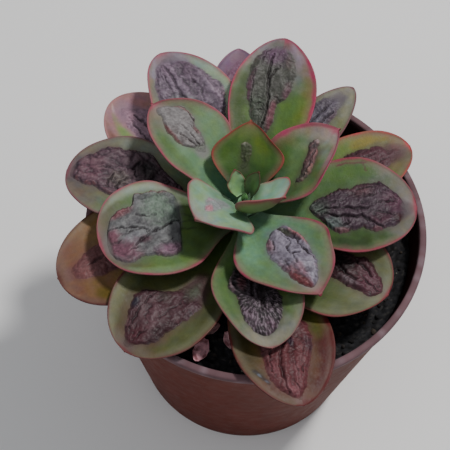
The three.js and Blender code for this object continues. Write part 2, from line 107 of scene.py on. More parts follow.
def mix(a, b, f):
    """Blends two colours or fields of colour; a tuple is an sRGB triple."""
    a, b = (srgb(c) if isinstance(c, tuple) else c for c in (a, b))
    f = np.asarray(f)[..., None]
    return a * (1 - f) + b * f


def turned(x, y, angle):
    c, s = np.cos(angle), np.sin(angle)
    return x * c - y * s, x * s + y * c


def circle(count):
    return np.linspace(0, 2 * np.pi, count, endpoint=False)


def rings(r, a, z, x=0.0, y=0.0):
    """Points at radius r and height z round the axis at x, y."""
    return np.stack([x + r * np.cos(a), y + r * np.sin(a), z + 0 * a], -1)


def pairs(numbers):
    """Pairs of t and v from their flat list in hundredths."""
    return np.reshape(numbers, (-1, 2)) / 100


class Noise:
    """Seeded gradient noise and cells, both on arrays."""

    def __init__(self, seed):
        rng = np.random.default_rng(seed)
        self.perm = rng.permutation(256)
        angle = rng.uniform(0, 2 * np.pi, 256)
        self.gx, self.gy = np.cos(angle), np.sin(angle)
        self.jx, self.jy = rng.random(256), rng.random(256)

    def key(self, i, j):
        return self.perm[(self.perm[i & 255] + j) & 255]

    def split(self, x, y):
        x, y = np.broadcast_arrays(np.asarray(x, float), np.asarray(y, float))
        return x, y, np.floor(x).astype(int), np.floor(y).astype(int)

    def grad(self, x, y):
        x, y, i, j = self.split(x, y)
        fx, fy = x - i, y - j
        u, w = (f ** 3 * (f * (f * 6 - 15) + 10) for f in (fx, fy))

        def corner(a, b):
            k = self.key(i + a, j + b)
            return self.gx[k] * (fx - a) + self.gy[k] * (fy - b)

        low = corner(0, 0) * (1 - u) + corner(1, 0) * u
        high = corner(0, 1) * (1 - u) + corner(1, 1) * u
        return 1.5 * (low * (1 - w) + high * w)

    def fbm(self, x, y, octaves):
        return sum(0.5 ** o * self.grad(x * 2 ** o + 17.3 * o, y * 2 ** o - 9.1 * o) for o in range(octaves))

    def ridged(self, x, y, octaves):
        creases = (self.grad(x * 2 ** o + 5.7 * o, y * 2 ** o + 3.1 * o) for o in range(octaves))
        total = sum(0.5 ** o * (1 - 2 * np.abs(c)) for o, c in enumerate(creases))
        return total / (2 - 0.5 ** (octaves - 1))

    def cells(self, x, y):
        """Distances to the nearest and the second nearest of the scattered seeds."""
        x, y, i, j = self.split(x, y)
        best = np.full(x.shape, 9.0)
        second = best
        for a in (-1, 0, 1):
            for b in (-1, 0, 1):
                k = self.key(i + a, j + b)
                d = np.hypot(i + a + self.jx[k] - x, j + b + self.jy[k] - y)
                second = np.minimum(second, np.maximum(best, d))
                best = np.minimum(best, d)
        return best, second


def build_material(name, roughness, speckle, speckle_scale, bump, bump_scale, specular=0.4):
    """Colour comes from the piece's own colour attribute, with fine noise on top."""
    material = bpy.data.materials.new(name)
    material.use_nodes = True
    tree = material.node_tree
    tree.nodes.clear()

    def add(kind, inputs, **settings):
        node = tree.nodes.new("ShaderNode" + kind)
        for key, value in settings.items():
            setattr(node, key, value)
        for key, value in inputs.items():
            if isinstance(value, bpy.types.NodeSocket):
                tree.links.new(value, node.inputs[key])
            else:
                node.inputs[key].default_value = value
        return node.outputs

    tint = add("Attribute", {}, attribute_name="tint")["Color"]
    place = add("TexCoord", {})["Object"]
    grain = add("TexNoise", {"Vector": place, "Scale": speckle_scale, "Detail": 3.0, "Roughness": 0.6})["Fac"]
    shade = add("MapRange", {"Value": grain, "From Min": 0.25, "From Max": 0.75,
                             "To Min": 1 - speckle, "To Max": 1 + speckle})["Result"]
    rough = add("MapRange", {"Value": grain, "From Min": 0.3, "From Max": 0.7,
                             "To Min": roughness - 0.08, "To Max": min(1.0, roughness + 0.08)})["Result"]
    fine = add("TexNoise", {"Vector": place, "Scale": bump_scale, "Detail": 2.0})["Fac"]
    surface = add("BsdfPrincipled", {
        "Base Color": add("VectorMath", {0: tint, "Scale": shade}, operation="SCALE")["Vector"],
        "Roughness": rough, "Specular IOR Level": specular,
        "Normal": add("Bump", {"Height": fine, "Strength": bump, "Distance": 0.0003})["Normal"]})["BSDF"]
    add("OutputMaterial", {"Surface": surface})
    return material


# Name, roughness, strength and scale of the speckles, strength and scale of the bumps, specular level.
LEAF = build_material("leaf_skin", 0.55, 0.1, 700, 0.25, 1100, 0.25)
HEART = build_material("heart_skin", 0.55, 0.06, 600, 0.15, 900, 0.25)
GROWTH = build_material("growth_skin", 0.5, 0.16, 1500, 0.3, 1700, 0.25)
POT = build_material("pot_plastic", 0.6, 0.07, 220, 0.12, 900, 0.08)
SOIL = build_material("soil_crumb", 0.95, 0.5, 900, 1.0, 700, 0.25)
STONE = build_material("perlite", 0.85, 0.15, 1500, 0.6, 1500)
STEM = build_material("stem_skin", 0.75, 0.2, 500, 0.5, 800)
DRY = build_material("dry_leaf", 0.8, 0.2, 900, 0.6, 900)


def build_piece(name, points, faces, tint, material, node, slot):
    """A piece from points in mm (z from the pot's base), with its colours on its corners."""
    mesh = bpy.data.meshes.new(name)
    points = np.reshape(points, (-1, 3)) * MM
    mesh.vertices.add(len(points))
    mesh.vertices.foreach_set("co", points.ravel())
    mesh.loops.add(faces.size)
    mesh.loops.foreach_set("vertex_index", faces.ravel())
    mesh.polygons.add(len(faces))
    mesh.polygons.foreach_set("loop_start", np.arange(len(faces)) * faces.shape[1])
    mesh.polygons.foreach_set("use_smooth", np.ones(len(faces), bool))
    mesh.update(calc_edges=True)
    mesh.validate()
    attribute = mesh.color_attributes.new("tint", "FLOAT_COLOR", "POINT")
    rgba = np.ones((len(points), 4))
    rgba[:, :3] = np.clip(np.reshape(tint, (-1, 3)), 0.0, 1.0)
    attribute.data.foreach_set("color", rgba.ravel())
    mesh.materials.append(material)
    piece = bpy.data.objects.new(name, mesh)
    bpy.context.scene.collection.objects.link(piece)
    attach(piece, "root")
    if node:
        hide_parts(node)
    return piece


def grid_faces(rows, columns, wrap=False, first=0):
    a = first + np.arange(rows - 1)[:, None] * columns
    j = np.arange(columns if wrap else columns - 1)[None, :]
    k = (j + 1) % columns
    return np.stack([a + j, a + k, a + k + columns, a + j + columns], -1).reshape(-1, 4)


# Leaves: the same curve, width, thickness and cup as the solids.
def stem_radius(h):
    s = np.clip((h + SOIL_DROP) / (STEM_TOP + SOIL_DROP), 0, 1)
    return STEM_RADIUS + (STEM_TIP_RADIUS - STEM_RADIUS) * s * s


class Leaf:
    """A leaf's face: t runs from its root to its tip, v from its right margin (-1) to its left one (1)."""

    def __init__(self, azimuth, root, reach, tip, root_rise, tip_rise, width, cup=0.15, shoulder=0.6,
                 blunt=0.55, power=2.2, bow=0.0, hook=0.0, roll=0.0, neck=0.26, wave=0.5, thick=1.0,
                 swells=()):
        self.angle = math.radians(azimuth)
        self.width, self.cup, self.shoulder, self.blunt, self.power = width, cup, shoulder, blunt, power
        self.bow, self.hook, self.roll, self.neck = bow, hook, math.radians(roll), neck
        self.wave, self.thick, self.swells = wave, thick, swells
        start = np.array([stem_radius(root - 1) + 0.3, root])
        end = np.array([reach, tip], float)
        handle = HANDLE * np.linalg.norm(end - start)
        a, b = math.radians(root_rise), math.radians(tip_rise)
        self.controls = [start, start + handle * np.array([math.cos(a), math.sin(a)]),
                         end - handle * np.array([math.cos(b), math.sin(b)]), end]
        self.out = np.array([math.cos(self.angle), math.sin(self.angle), 0.0])
        self.side = np.array([-math.sin(self.angle), math.cos(self.angle), 0.0])
        line = self.midrib(np.linspace(0, 1, 80))[0]
        self.length = np.linalg.norm(np.diff(line, axis=0), axis=1).sum()

    def midrib(self, t):
        """Places and directions along the midrib, as distance from the stem and height over the rim."""
        t = np.asarray(t, float)[..., None]
        p = self.controls
        m = (1 - t) ** 3 * p[0] + 3 * (1 - t) ** 2 * t * p[1] + 3 * (1 - t) * t * t * p[2] + t ** 3 * p[3]
        d = 3 * (1 - t) ** 2 * (p[1] - p[0]) + 6 * (1 - t) * t * (p[2] - p[1]) + 3 * t * t * (p[3] - p[2])
        return m, d / np.linalg.norm(d, axis=-1, keepdims=True)

    def half(self, t):
        x = np.clip(t / self.shoulder, 0, 1)
        u = np.clip((t - self.shoulder) / (1 - self.shoulder), 0, 1)
        widening = self.neck + (1 - self.neck) * np.sin(np.pi / 2 * x) ** 1.5
        share = np.where(u > 0, np.maximum(0, 1 - u ** self.power) ** self.blunt, widening)
        return np.maximum(self.width / 2 * share, 0.5)

    def flat(self, t, v):
        """Places on the flattened leaf, in mm."""
        return t * self.length, v * self.half(t)

    def path(self, numbers):
        return list(zip(*self.flat(*pairs(numbers).T)))

    def thickness(self, t, v):
        along = ROOT_THICKNESS + (BLADE_THICKNESS - ROOT_THICKNESS) * smooth(0, 0.45, t)
        tipped = along * (1 - (1 - TIP_SHARE) * smooth(0.8, 1, t))
        return np.maximum(0.65, self.thick * tipped * (1 - (1 - MARGIN_SHARE) * v * v))

    def point(self, t, v, lift=0.0, outward=0.0):
        t, v, lift = np.broadcast_arrays(*(np.asarray(k, float) for k in (t, v, lift)))
        m, d = self.midrib(t)
        half = self.half(t)
        wave = self.wave * np.sin(t * 17 + self.angle * 5 + np.where(v > 0, 2, 0)) * np.abs(v) ** 3
        rise = self.cup * half * v * v + wave * smooth(0.25, 0.5, t) * smooth(1, 0.85, t) + lift
        across, up = turned(v * half + outward * np.sign(v), rise, self.roll * smooth(0, 0.5, t))
        across = across + self.bow * np.sin(np.pi * t) + self.hook * t ** 3
        for side, middle, spread, amount in self.swells:
            bell = np.exp(-((t - middle) / spread) ** 2)
            across = across + side * amount * bell * np.maximum(0, side * v) ** 1.5
        out, height = m[..., 0] - d[..., 1] * up, POT_HEIGHT + m[..., 1] + d[..., 0] * up
        place = out[..., None] * self.out + across[..., None] * self.side
        return place + np.stack([STEM_X + 0 * height, STEM_Y + 0 * height, height], -1)


LEAVES = {
    "01": Leaf(50, 19, 8, 30, 75, 60, 7, cup=0.3, shoulder=0.5, blunt=0.8, neck=0.6, thick=0.45, wave=0),
    "02": Leaf(122, 18, 9, 28.5, 60, 60, 8, cup=0.3, shoulder=0.5, blunt=0.8, bow=1.2, neck=0.6, thick=0.45),
    "03": Leaf(330, 18, 16, 28, 40, 0, 24, cup=0.5, roll=-20, blunt=0.45, bow=-2, hook=5, neck=0.55,
               wave=0.2),
    "04": Leaf(226, 15, 28, 34, 50, 20, 35, cup=0.12, shoulder=0.5, blunt=0.75, power=1.9, neck=0.3,
               swells=[(1, 0.8, 0.15, -2)]),
    "05": Leaf(88, 16, 31, 32, 38, 30, 31, cup=0.25, shoulder=0.52, blunt=0.9, power=1.7, neck=0.3, wave=0.2,
               swells=[(-1, 0.75, 0.15, -2.2), (1, 0.8, 0.12, -0.6)]),
    "06": Leaf(35, 11.5, 49, 31, 30, 10, 31, cup=0.3, shoulder=0.5, blunt=0.85, bow=-1, hook=2,
               swells=[(-1, 0.75, 0.2, -2.5)]),
    "07": Leaf(303, 10, 53.5, 18, 15, -8, 42, cup=0.12, shoulder=0.48, blunt=0.85, power=1.8, hook=3.5,
               swells=[(1, 0.84, 0.14, 2.5), (1, 0.5, 0.12, 1.4), (-1, 0.4, 0.2, -1)]),
    "08": Leaf(139, 10, 55, 33, 30, 20, 32, cup=0.2, blunt=0.65, bow=-3, swells=[(-1, 0.6, 0.25, 1.5)]),
    "09": Leaf(202, 5.5, 64, 15, 15, -5, 46, cup=0.15, shoulder=0.62, blunt=0.5,
               swells=[(1, 0.36, 0.18, 2.6)]),
    "10": Leaf(79, 6.5, 78, 33, 26, 20, 37, cup=0.2, blunt=0.65, neck=0.24,
               swells=[(-1, 0.75, 0.3, 1.4), (1, 0.4, 0.2, -1)]),
    "11": Leaf(4, 4.5, 75, 11, 14, -2, 47, cup=0.15),
    "12": Leaf(282, 2.8, 65.5, 9.5, 15, -8, 38, cup=0.15, blunt=0.62, bow=-2, swells=[(-1, 0.76, 0.2, -3)]),
    "13": Leaf(170, -1.2, 79, 12, 12, 2, 42, cup=0.15, shoulder=0.64, blunt=0.52, bow=-3),
    "14": Leaf(118, 2.5, 81, 26, 20, 12, 37, cup=0.2, shoulder=0.64, blunt=0.62, hook=4, neck=0.24,
               swells=[(1, 0.8, 0.2, -2.5), (-1, 0.72, 0.25, 3)]),
    "15": Leaf(327, -2, 71, 4, 13, -8, 46, cup=0.12, blunt=0.6, bow=-1, hook=5,
               swells=[(-1, 0.85, 0.15, 1.2)]),
    "16": Leaf(28, -7, 83.5, 8, 12, 0, 34, cup=0.15, shoulder=0.62),
    "17": Leaf(236, -3.9, 81, 6, 13, -8, 44, cup=0.08, roll=-4, shoulder=0.62, blunt=0.52),
    "18": Leaf(288, -7, 89, 2, 12, -8, 42, cup=0.06, roll=-3, shoulder=0.62, blunt=0.58,
               swells=[(-1, 0.75, 0.15, 0.8)]),
    "19": Leaf(54.5, -2, 78.5, 18, 15, 10, 22, cup=0.2, shoulder=0.62, blunt=0.65, hook=-2),
    "20": Leaf(138, -5.2, 83, 9, 8, 2, 38, cup=0.1, shoulder=0.64),
    "21": Leaf(94, -9.5, 82, 18, 20, 14, 31, cup=0.2, blunt=0.68),
    "22": Leaf(204, -9, 84, 3, 14, -6, 48, cup=0.1, shoulder=0.62, blunt=0.52, bow=-2,
               swells=[(-1, 0.85, 0.15, -2), (1, 0.8, 0.2, 1)]),
}

# Looks of the leaves: colour at the root, in the middle and towards the tip, colour and width of the margin
# on the right and on the left side (seen from the stem), and tints as t, v, size along t, size across v and
# strength in hundredths, then the colour.
LOOKS = {
    "01": ((47, 76, 40), (64, 96, 50), (66, 92, 50), (84, 62, 48), 0.3, 0.3,
           [(50, -50, 35, 50, 70, 84, 126, 70), (50, 60, 35, 40, 70, 42, 70, 34)]),
    "02": ((124, 166, 120), (120, 154, 108), (134, 164, 122), (112, 72, 62), 0.3, 0.6, []),
    "03": ((112, 144, 118), (124, 158, 134), (126, 148, 136), (150, 66, 74), 1.2, 0.5,
           [(35, 60, 20, 25, 35, 150, 156, 150)]),
    "04": ((104, 134, 112), (124, 152, 126), (131, 138, 129), (142, 74, 84), 1.0, 0.9,
           [(62, -50, 20, 20, 50, 132, 150, 104), (20, 50, 20, 40, 60, 88, 118, 80)]),
    # The yellow-green tint at t .70, v -.40 on leaf 05 is a painted sheen.
    "05": ((25, 58, 22), (56, 81, 34), (68, 85, 34), (138, 56, 54), 1.3, 1.2,
           [(70, -40, 26, 42, 60, 86, 102, 38), (45, 15, 22, 20, 30, 58, 60, 44)]),
    "06": ((64, 90, 66), (76, 98, 60), (131, 130, 126), (146, 62, 84), 1.9, 2.8,
           [(86, 45, 16, 50, 70, 134, 128, 116), (50, 60, 22, 40, 80, 62, 90, 38),
            (78, -80, 20, 25, 70, 150, 108, 118), (70, -20, 14, 26, 55, 84, 72, 58),
            (52, -14, 16, 20, 60, 60, 72, 44), (50, -50, 30, 30, 50, 76, 88, 58)]),
    "07": ((92, 124, 98), (86, 112, 82), (83, 80, 60), (128, 50, 70), 1.6, 1.6,
           [(35, -60, 25, 40, 60, 106, 146, 116), (70, 80, 25, 25, 50, 82, 98, 66),
            (93, 0, 10, 90, 50, 124, 104, 96)]),
    "08": ((78, 114, 88), (92, 118, 86), (96, 90, 75), (146, 70, 86), 1.3, 1.3,
           [(60, 75, 35, 40, 80, 76, 98, 62), (45, 30, 15, 50, 50, 78, 112, 82),
            (60, -75, 30, 35, 60, 106, 130, 98)]),
    "09": ((48, 60, 32), (80, 102, 58), (82, 75, 62), (140, 66, 82), 1.2, 1.2,
           [(60, -90, 40, 16, 90, 130, 142, 128), (70, 90, 30, 16, 60, 104, 124, 92)]),
    "10": ((70, 98, 54), (74, 99, 50), (130, 122, 132), (158, 54, 84), 2.5, 0.9,
           [(60, -80, 30, 25, 60, 94, 108, 50), (95, 20, 14, 100, 60, 134, 120, 130),
            (55, 75, 34, 50, 85, 56, 70, 36)]),
    # The dark green tint at t .55, v -.80 on leaf 11 is painted shade on its lower side.
    "11": ((84, 110, 78), (61, 86, 44), (97, 92, 87), (136, 54, 70), 1.3, 1.3,
           [(50, 75, 25, 20, 60, 72, 100, 44), (95, 0, 10, 60, 70, 112, 100, 102),
            (55, -80, 26, 40, 90, 40, 54, 28)]),
    "12": ((77, 100, 60), (70, 94, 52), (111, 108, 98), (120, 66, 72), 0.7, 0.7,
           [(55, 70, 25, 40, 70, 84, 98, 62)]),
    "13": ((76, 98, 64), (98, 108, 86), (91, 78, 72), (112, 64, 74), 0.8, 0.8,
           [(100, 10, 10, 80, 100, 54, 46, 58), (55, -85, 30, 25, 70, 116, 118, 110),
            (60, 85, 30, 30, 50, 88, 100, 76)]),
    "14": ((80, 110, 78), (122, 132, 110), (130, 122, 134), (158, 80, 96), 0.9, 1.2,
           [(70, -85, 30, 25, 85, 142, 164, 140), (75, 85, 30, 20, 60, 112, 108, 86)]),
    "15": ((72, 84, 46), (64, 75, 40), (86, 88, 66), (112, 46, 52), 0.9, 1.0,
           [(55, 70, 30, 35, 70, 104, 86, 68)]),
    "16": ((72, 92, 46), (95, 116, 60), (96, 86, 66), (160, 62, 64), 1.0, 1.6,
           [(80, 70, 15, 25, 70, 128, 112, 54), (97, -20, 10, 70, 70, 84, 68, 66)]),
    "17": ((76, 94, 50), (69, 72, 44), (75, 60, 44), (94, 44, 46), 0.9, 0.7,
           [(75, 75, 20, 25, 60, 72, 82, 42), (55, 70, 30, 40, 70, 56, 58, 36),
            (80, -85, 25, 25, 60, 100, 104, 76)]),
    # Leaf 18's dark olive root colour and its dark tint at t .62, v -.80 are painted shade; the tint stands
    # for leaf 12's shadow.
    "18": ((66, 80, 20), (77, 68, 38), (74, 42, 32), (84, 26, 28), 0.9, 3.0,
           [(84, 95, 36, 60, 100, 62, 14, 14), (58, 70, 13, 30, 80, 66, 72, 22),
            (50, 60, 20, 40, 50, 70, 66, 38), (62, -80, 22, 35, 80, 50, 44, 24)]),
    "19": ((78, 92, 54), (91, 98, 64), (128, 126, 112), (112, 68, 78), 0.7, 0.8, []),
    "20": ((80, 90, 60), (138, 116, 112), (145, 106, 111), (160, 112, 112), 1.5, 1.2,
           [(75, 50, 30, 20, 100, 112, 130, 80), (96, 42, 6, 16, 90, 186, 156, 154),
            (75, 92, 20, 20, 90, 110, 64, 60)]),
    "21": ((80, 70, 74), (110, 88, 106), (106, 79, 110), (140, 98, 118), 0.8, 0.8, []),
    # The dark olive tint at t .79, v .72 on leaf 22 is the painted shadow of leaf 09.
    "22": ((70, 70, 32), (126, 104, 72), (101, 67, 55), (78, 34, 34), 1.0, 1.2,
           [(60, 70, 20, 40, 60, 92, 84, 40), (79, 72, 7, 45, 90, 78, 66, 24),
            (86, 98, 14, 20, 70, 84, 40, 36)]),
}
# Undersides that aren't a darker form of the leaf's middle colour.
UNDERS = {"03": (118, 140, 74)}

# Scars, cracks and specks on leaves: width in mm, strength, colour, then t and v of its points in hundredths.
MARKS = {
    "11": [(0.5, 0.9, 70, 32, 30, 53, 88, 58, 90, 64, 89, 71, 92),
           (0.45, 0.8, 66, 32, 30, 69, 93, 70, 84, 71, 76)],
    "18": [(1.1, 0.8, 34, 28, 30, 79, -80, 86, -68), (0.6, 0.7, 86, 96, 112, 81, -77, 82, -75),
           (0.4, 0.6, 80, 86, 98, 85, -71, 85.5, -70)],
    "09": [(0.4, 0.6, 26, 26, 22, 40, -6, 35, -10, 30, -11, 26, -6),
           (0.4, 0.6, 26, 26, 22, 40, 8, 35, 12, 29, 15), (0.4, 0.5, 28, 28, 24, 38, -30, 33, -28, 29, -22)],
    "08": [(0.35, 0.8, 52, 34, 32, 64, 60, 64.5, 61)],
    "13": [(2.6, 0.9, 46, 40, 52, 95, -55, 98.5, -10, 98.5, 50)],
    "15": [(0.3, 0.6, 48, 44, 32, 60, -62, 62, -60), (0.3, 0.6, 48, 44, 32, 68, -66, 69, -62),
           (0.3, 0.6, 48, 44, 32, 57, -50, 58, -52)],
}

# Leaves that end in a small point, with its length in mm.
POINTS = {"01": 0.5, "02": 0.5, "03": 1.0, "04": 0.6, "05": 0.6, "06": 0.9, "07": 0.9, "08": 1.1, "16": 0.5}


def line_distance(x, y, line):
    """Distance from each place to a broken line, and the share along it of the nearest place."""
    best = np.full(x.shape, 1e9)
    share = np.zeros(x.shape)
    count = len(line) - 1
    for i, ((ax, ay), (bx, by)) in enumerate(zip(line, line[1:])):
        dx, dy = bx - ax, by - ay
        s = np.clip(((x - ax) * dx + (y - ay) * dy) / (dx * dx + dy * dy + 1e-9), 0, 1)
        d = np.hypot(x - ax - s * dx, y - ay - s * dy)
        share = np.where(d < best, (i + s) / count, share)
        best = np.minimum(best, d)
    return best, share


def spot(t, v, tints, colour, warp):
    """Mixes soft tints into a colour field."""
    for tint in tints:
        ct, cv, rt, rv, strength = np.array(tint[:5]) / 100
        d = np.hypot((t - ct) / rt, (v - cv) / rv) + 0.3 * warp
        colour = mix(colour, tint[5:], strength * smooth(1.0, 0.25, d))
    return colour


def growth_distance(code, t, v):
    """Distance in mm from the growth's outline, negative inside, and how much the growth melts away there."""
    g, leaf = GROWTHS[code], LEAVES[code]
    inner = np.clip(t, g.start, g.end)
    low, high = (np.interp(inner, *side.T) for side in (g.right, g.left))
    d = np.maximum(low - v, v - high) * leaf.half(inner)
    beyond = np.maximum(g.start - t, t - g.end) * leaf.length
    d = np.where(beyond > 0, np.hypot(np.maximum(d, 0), beyond), np.maximum(d, beyond))
    soft = np.zeros(np.shape(d))
    for melt in g.melt:
        ct, cv, rt, rv = np.array(melt) / 100
        soft = np.maximum(soft, smooth(1.0, 0.4, np.hypot((t - ct) / rt, (v - cv) / rv)))
    return d, soft


def leaf_tint(code, t, v, noise, under):
    leaf = LEAVES[code]
    x, y = leaf.flat(t, v)
    root, middle, tip, margin, right, left, tints = LOOKS[code]
    broad = noise.fbm(x / 9, y / 9, 3)
    streak = noise.grad(x / 14, v * leaf.width / 2.2) + 0.5 * noise.grad(x / 5 + 9, y / 1.1)
    colour = mix(root, middle, smooth(0.12, 0.5, t + 0.06 * broad))
    colour = mix(colour, tip, smooth(0.6, 0.98, t + 0.08 * broad))
    colour = spot(t, v, tints, colour, broad)
    for size, strength, *rest in [] if under else MARKS.get(code, []):
        d, _ = line_distance(x, y, leaf.path(rest[3:]))
        worn = smooth(1.1, 0.4, d / size + 0.3 * noise.grad(x / 0.8, y / 0.8))
        colour = mix(colour, tuple(rest[:3]), strength * worn)
    mottle = noise.fbm(x / 2.2 + 60, y / 2.2, 2)
    hue = noise.fbm(x / 5 + 33, y / 4 + 12, 2)[..., None] * np.array([0.08, 0.03, -0.16])
    colour = colour * (1 + (0.12 * broad + 0.06 * streak + 0.07 * mottle)[..., None] + hue)
    colour = np.maximum(colour + 0.14 * (colour - colour.mean(-1, keepdims=True)), 0.004)
    if code in GROWTHS and not under:
        d, soft = growth_distance(code, t, v)
        reach = (1.1 + 3.2 * soft) * (1 + 0.45 * noise.fbm(x / 3 + 20, y / 3, 2))
        stain = np.exp(-(np.maximum(d, 0) / reach) ** 1.5) * (0.36 + 0.5 * soft)
        colour = mix(colour, srgb(GROWTHS[code].base) * np.array(GROWTHS[code].tone), stain)
    edge = np.minimum((1 - np.abs(v)) * leaf.half(t), (1 - t) * leaf.length * 0.6)
    colour = mix(colour, mix(colour, (150, 150, 134), 0.14), smooth(5.0, 1.2, edge))
    width = np.where(v < 0, right, left) * (0.9 + 0.5 * noise.grad(x / 5, 3.5))
    shown = smooth(0.12, 0.35, t)
    band = smooth(width * 0.8 + 0.3, width * 0.3, edge) * shown
    colour = mix(colour, margin, 0.28 * smooth(3.0 * width, 0, edge) * shown)
    colour = mix(colour, margin, (0.76 + 0.4 * noise.grad(x / 3.5 + 9, 7.5)) * band)
    if under:
        colour = mix(colour, UNDERS.get(code, tuple(0.8 * c for c in middle)), 0.75 * (1 - band))
        colour = mix(colour, (120, 84, 72), 0.22 * smooth(0.4, 1, t))
    return colour


def build_leaf(code):
    leaf, (_, _, tip_colour, margin_colour, *_) = LEAVES[code], LOOKS[code]
    noise = Noise(int(code) * 7 + 1)
    rows = int(np.clip(leaf.length / LEAF_STEP, 30, 130))
    top = int(np.clip(leaf.width / LEAF_STEP, 18, 78))
    t = 1 - (1 - np.linspace(0, 1, rows)) ** 1.45
    s = np.linspace(-1, 1, top)
    tt, vv = np.meshgrid(t, 1.3 * s - 0.3 * s ** 3, indexing="ij")
    x, y = leaf.flat(tt, vv)
    relief = 0.0 if leaf.width < SMALL_LEAF else 1.0
    swell = 0.16 * noise.fbm(x / 8, y / 8, 2) * smooth(0.1, 0.4, tt) * (1 - vv ** 6)
    rim = 0.14 * smooth(1.6, 0.5, (1 - np.abs(vv)) * leaf.half(tt))
    upper = leaf.point(tt, vv, relief * (swell + rim))
    upper_tint = leaf_tint(code, tt, vv, noise, False)
    inset = -0.5 * leaf.thickness(t, 1.0)
    left, right = (leaf.point(t, v * np.ones(rows), inset, MARGIN_ROUND)[:, None] for v in (1, -1))
    tt, vv = np.meshgrid(t, np.linspace(1, -1, max(10, top // 3)), indexing="ij")
    keel = KEEL_HEIGHT * relief * np.exp(-(vv * leaf.half(tt) / KEEL_WIDTH) ** 2) * smooth(0.2, 0.6, tt)
    lower = leaf.point(tt, vv, -leaf.thickness(tt, vv) - keel)
    lower_tint = leaf_tint(code, tt, vv, noise, True)
    margin = np.broadcast_to(mix(margin_colour, tip_colour, 0.25), (rows, 1, 3)) * 0.75
    points = np.concatenate([upper, left, lower, right], axis=1)
    tints = np.concatenate([upper_tint, margin, lower_tint, margin], axis=1)
    # The point at the tip: a few shrinking rings beyond the last one, dark red at its end.
    _, d = leaf.midrib(1.0)
    step = (leaf.out * d[0] + np.array([0, 0, d[1]])) * POINTS.get(code, 0.3)
    last, middle = points[-1], leaf.point(1.0, 0.0, -0.5 * leaf.thickness(1.0, 0.0))
    columns = len(last)
    for k, (shrink, along) in enumerate([(0.8, 0.35), (0.5, 0.75), (0.18, 1.0)]):
        points = np.concatenate([points, [(last - middle) * shrink + middle + step * along]])
        red = mix(margin_colour, (92, 30, 30), 0.3 + 0.3 * k)
        tints = np.concatenate([tints, np.broadcast_to(red, (1, columns, 3))])
    cap = (rows + 2) * columns
    j = np.arange(1, columns - 2, 2)
    faces = np.concatenate([
        grid_faces(rows + 3, columns, True),
        np.stack([cap + j * 0, cap + j, cap + j + 1, cap + j + 2], -1),
        np.stack([j * 0, j + 2, j + 1, j], -1)])
    build_piece("leaf_" + code + "_skin", points, faces, tints, HEART if code in ("02", "03", "04") else LEAF,
                "leaf_" + code, "heart_leaf" if code in ("01", "02", "03", "04") else "leaf")


# Growths: warty reliefs on the leaves.
def growth(right, left, height, edge, nodules, plate, folds, brain, fibre, base, low, high, tone, cracks,
           ridges=(), tints=(), melt=(), sway=2.4, ripple=0.0, cushion=0.0, dust=0.1, hair=None):
    """One growth. right and left are its outline seen from the stem, as t and v in hundredths, height is
    its limit in mm, edge the width of its rise in mm and nodules the height of the beads along the outline.
    plate, folds, brain, fibre, ripple and cushion weigh kinds of relief, and sway bends them. hair is the
    middle, as t and v, of fine hairs that point away from it. base, low and high are colours, tone scales
    them, low also gives painted shade in the creases and high a painted highlight on the ridges, and
    dust is a pale bloom laid mostly on the ridges, so partly a painted highlight. Cracks and
    ridges have a width and a depth in mm, then their points as t and v in hundredths. Tints are as on the
    leaves. melt lists places, as t, v and their sizes, where the growth is low and soft."""
    right, left = pairs(right), pairs(left)
    start, end = right[0][0], right[-1][0]
    return SimpleNamespace(**locals())


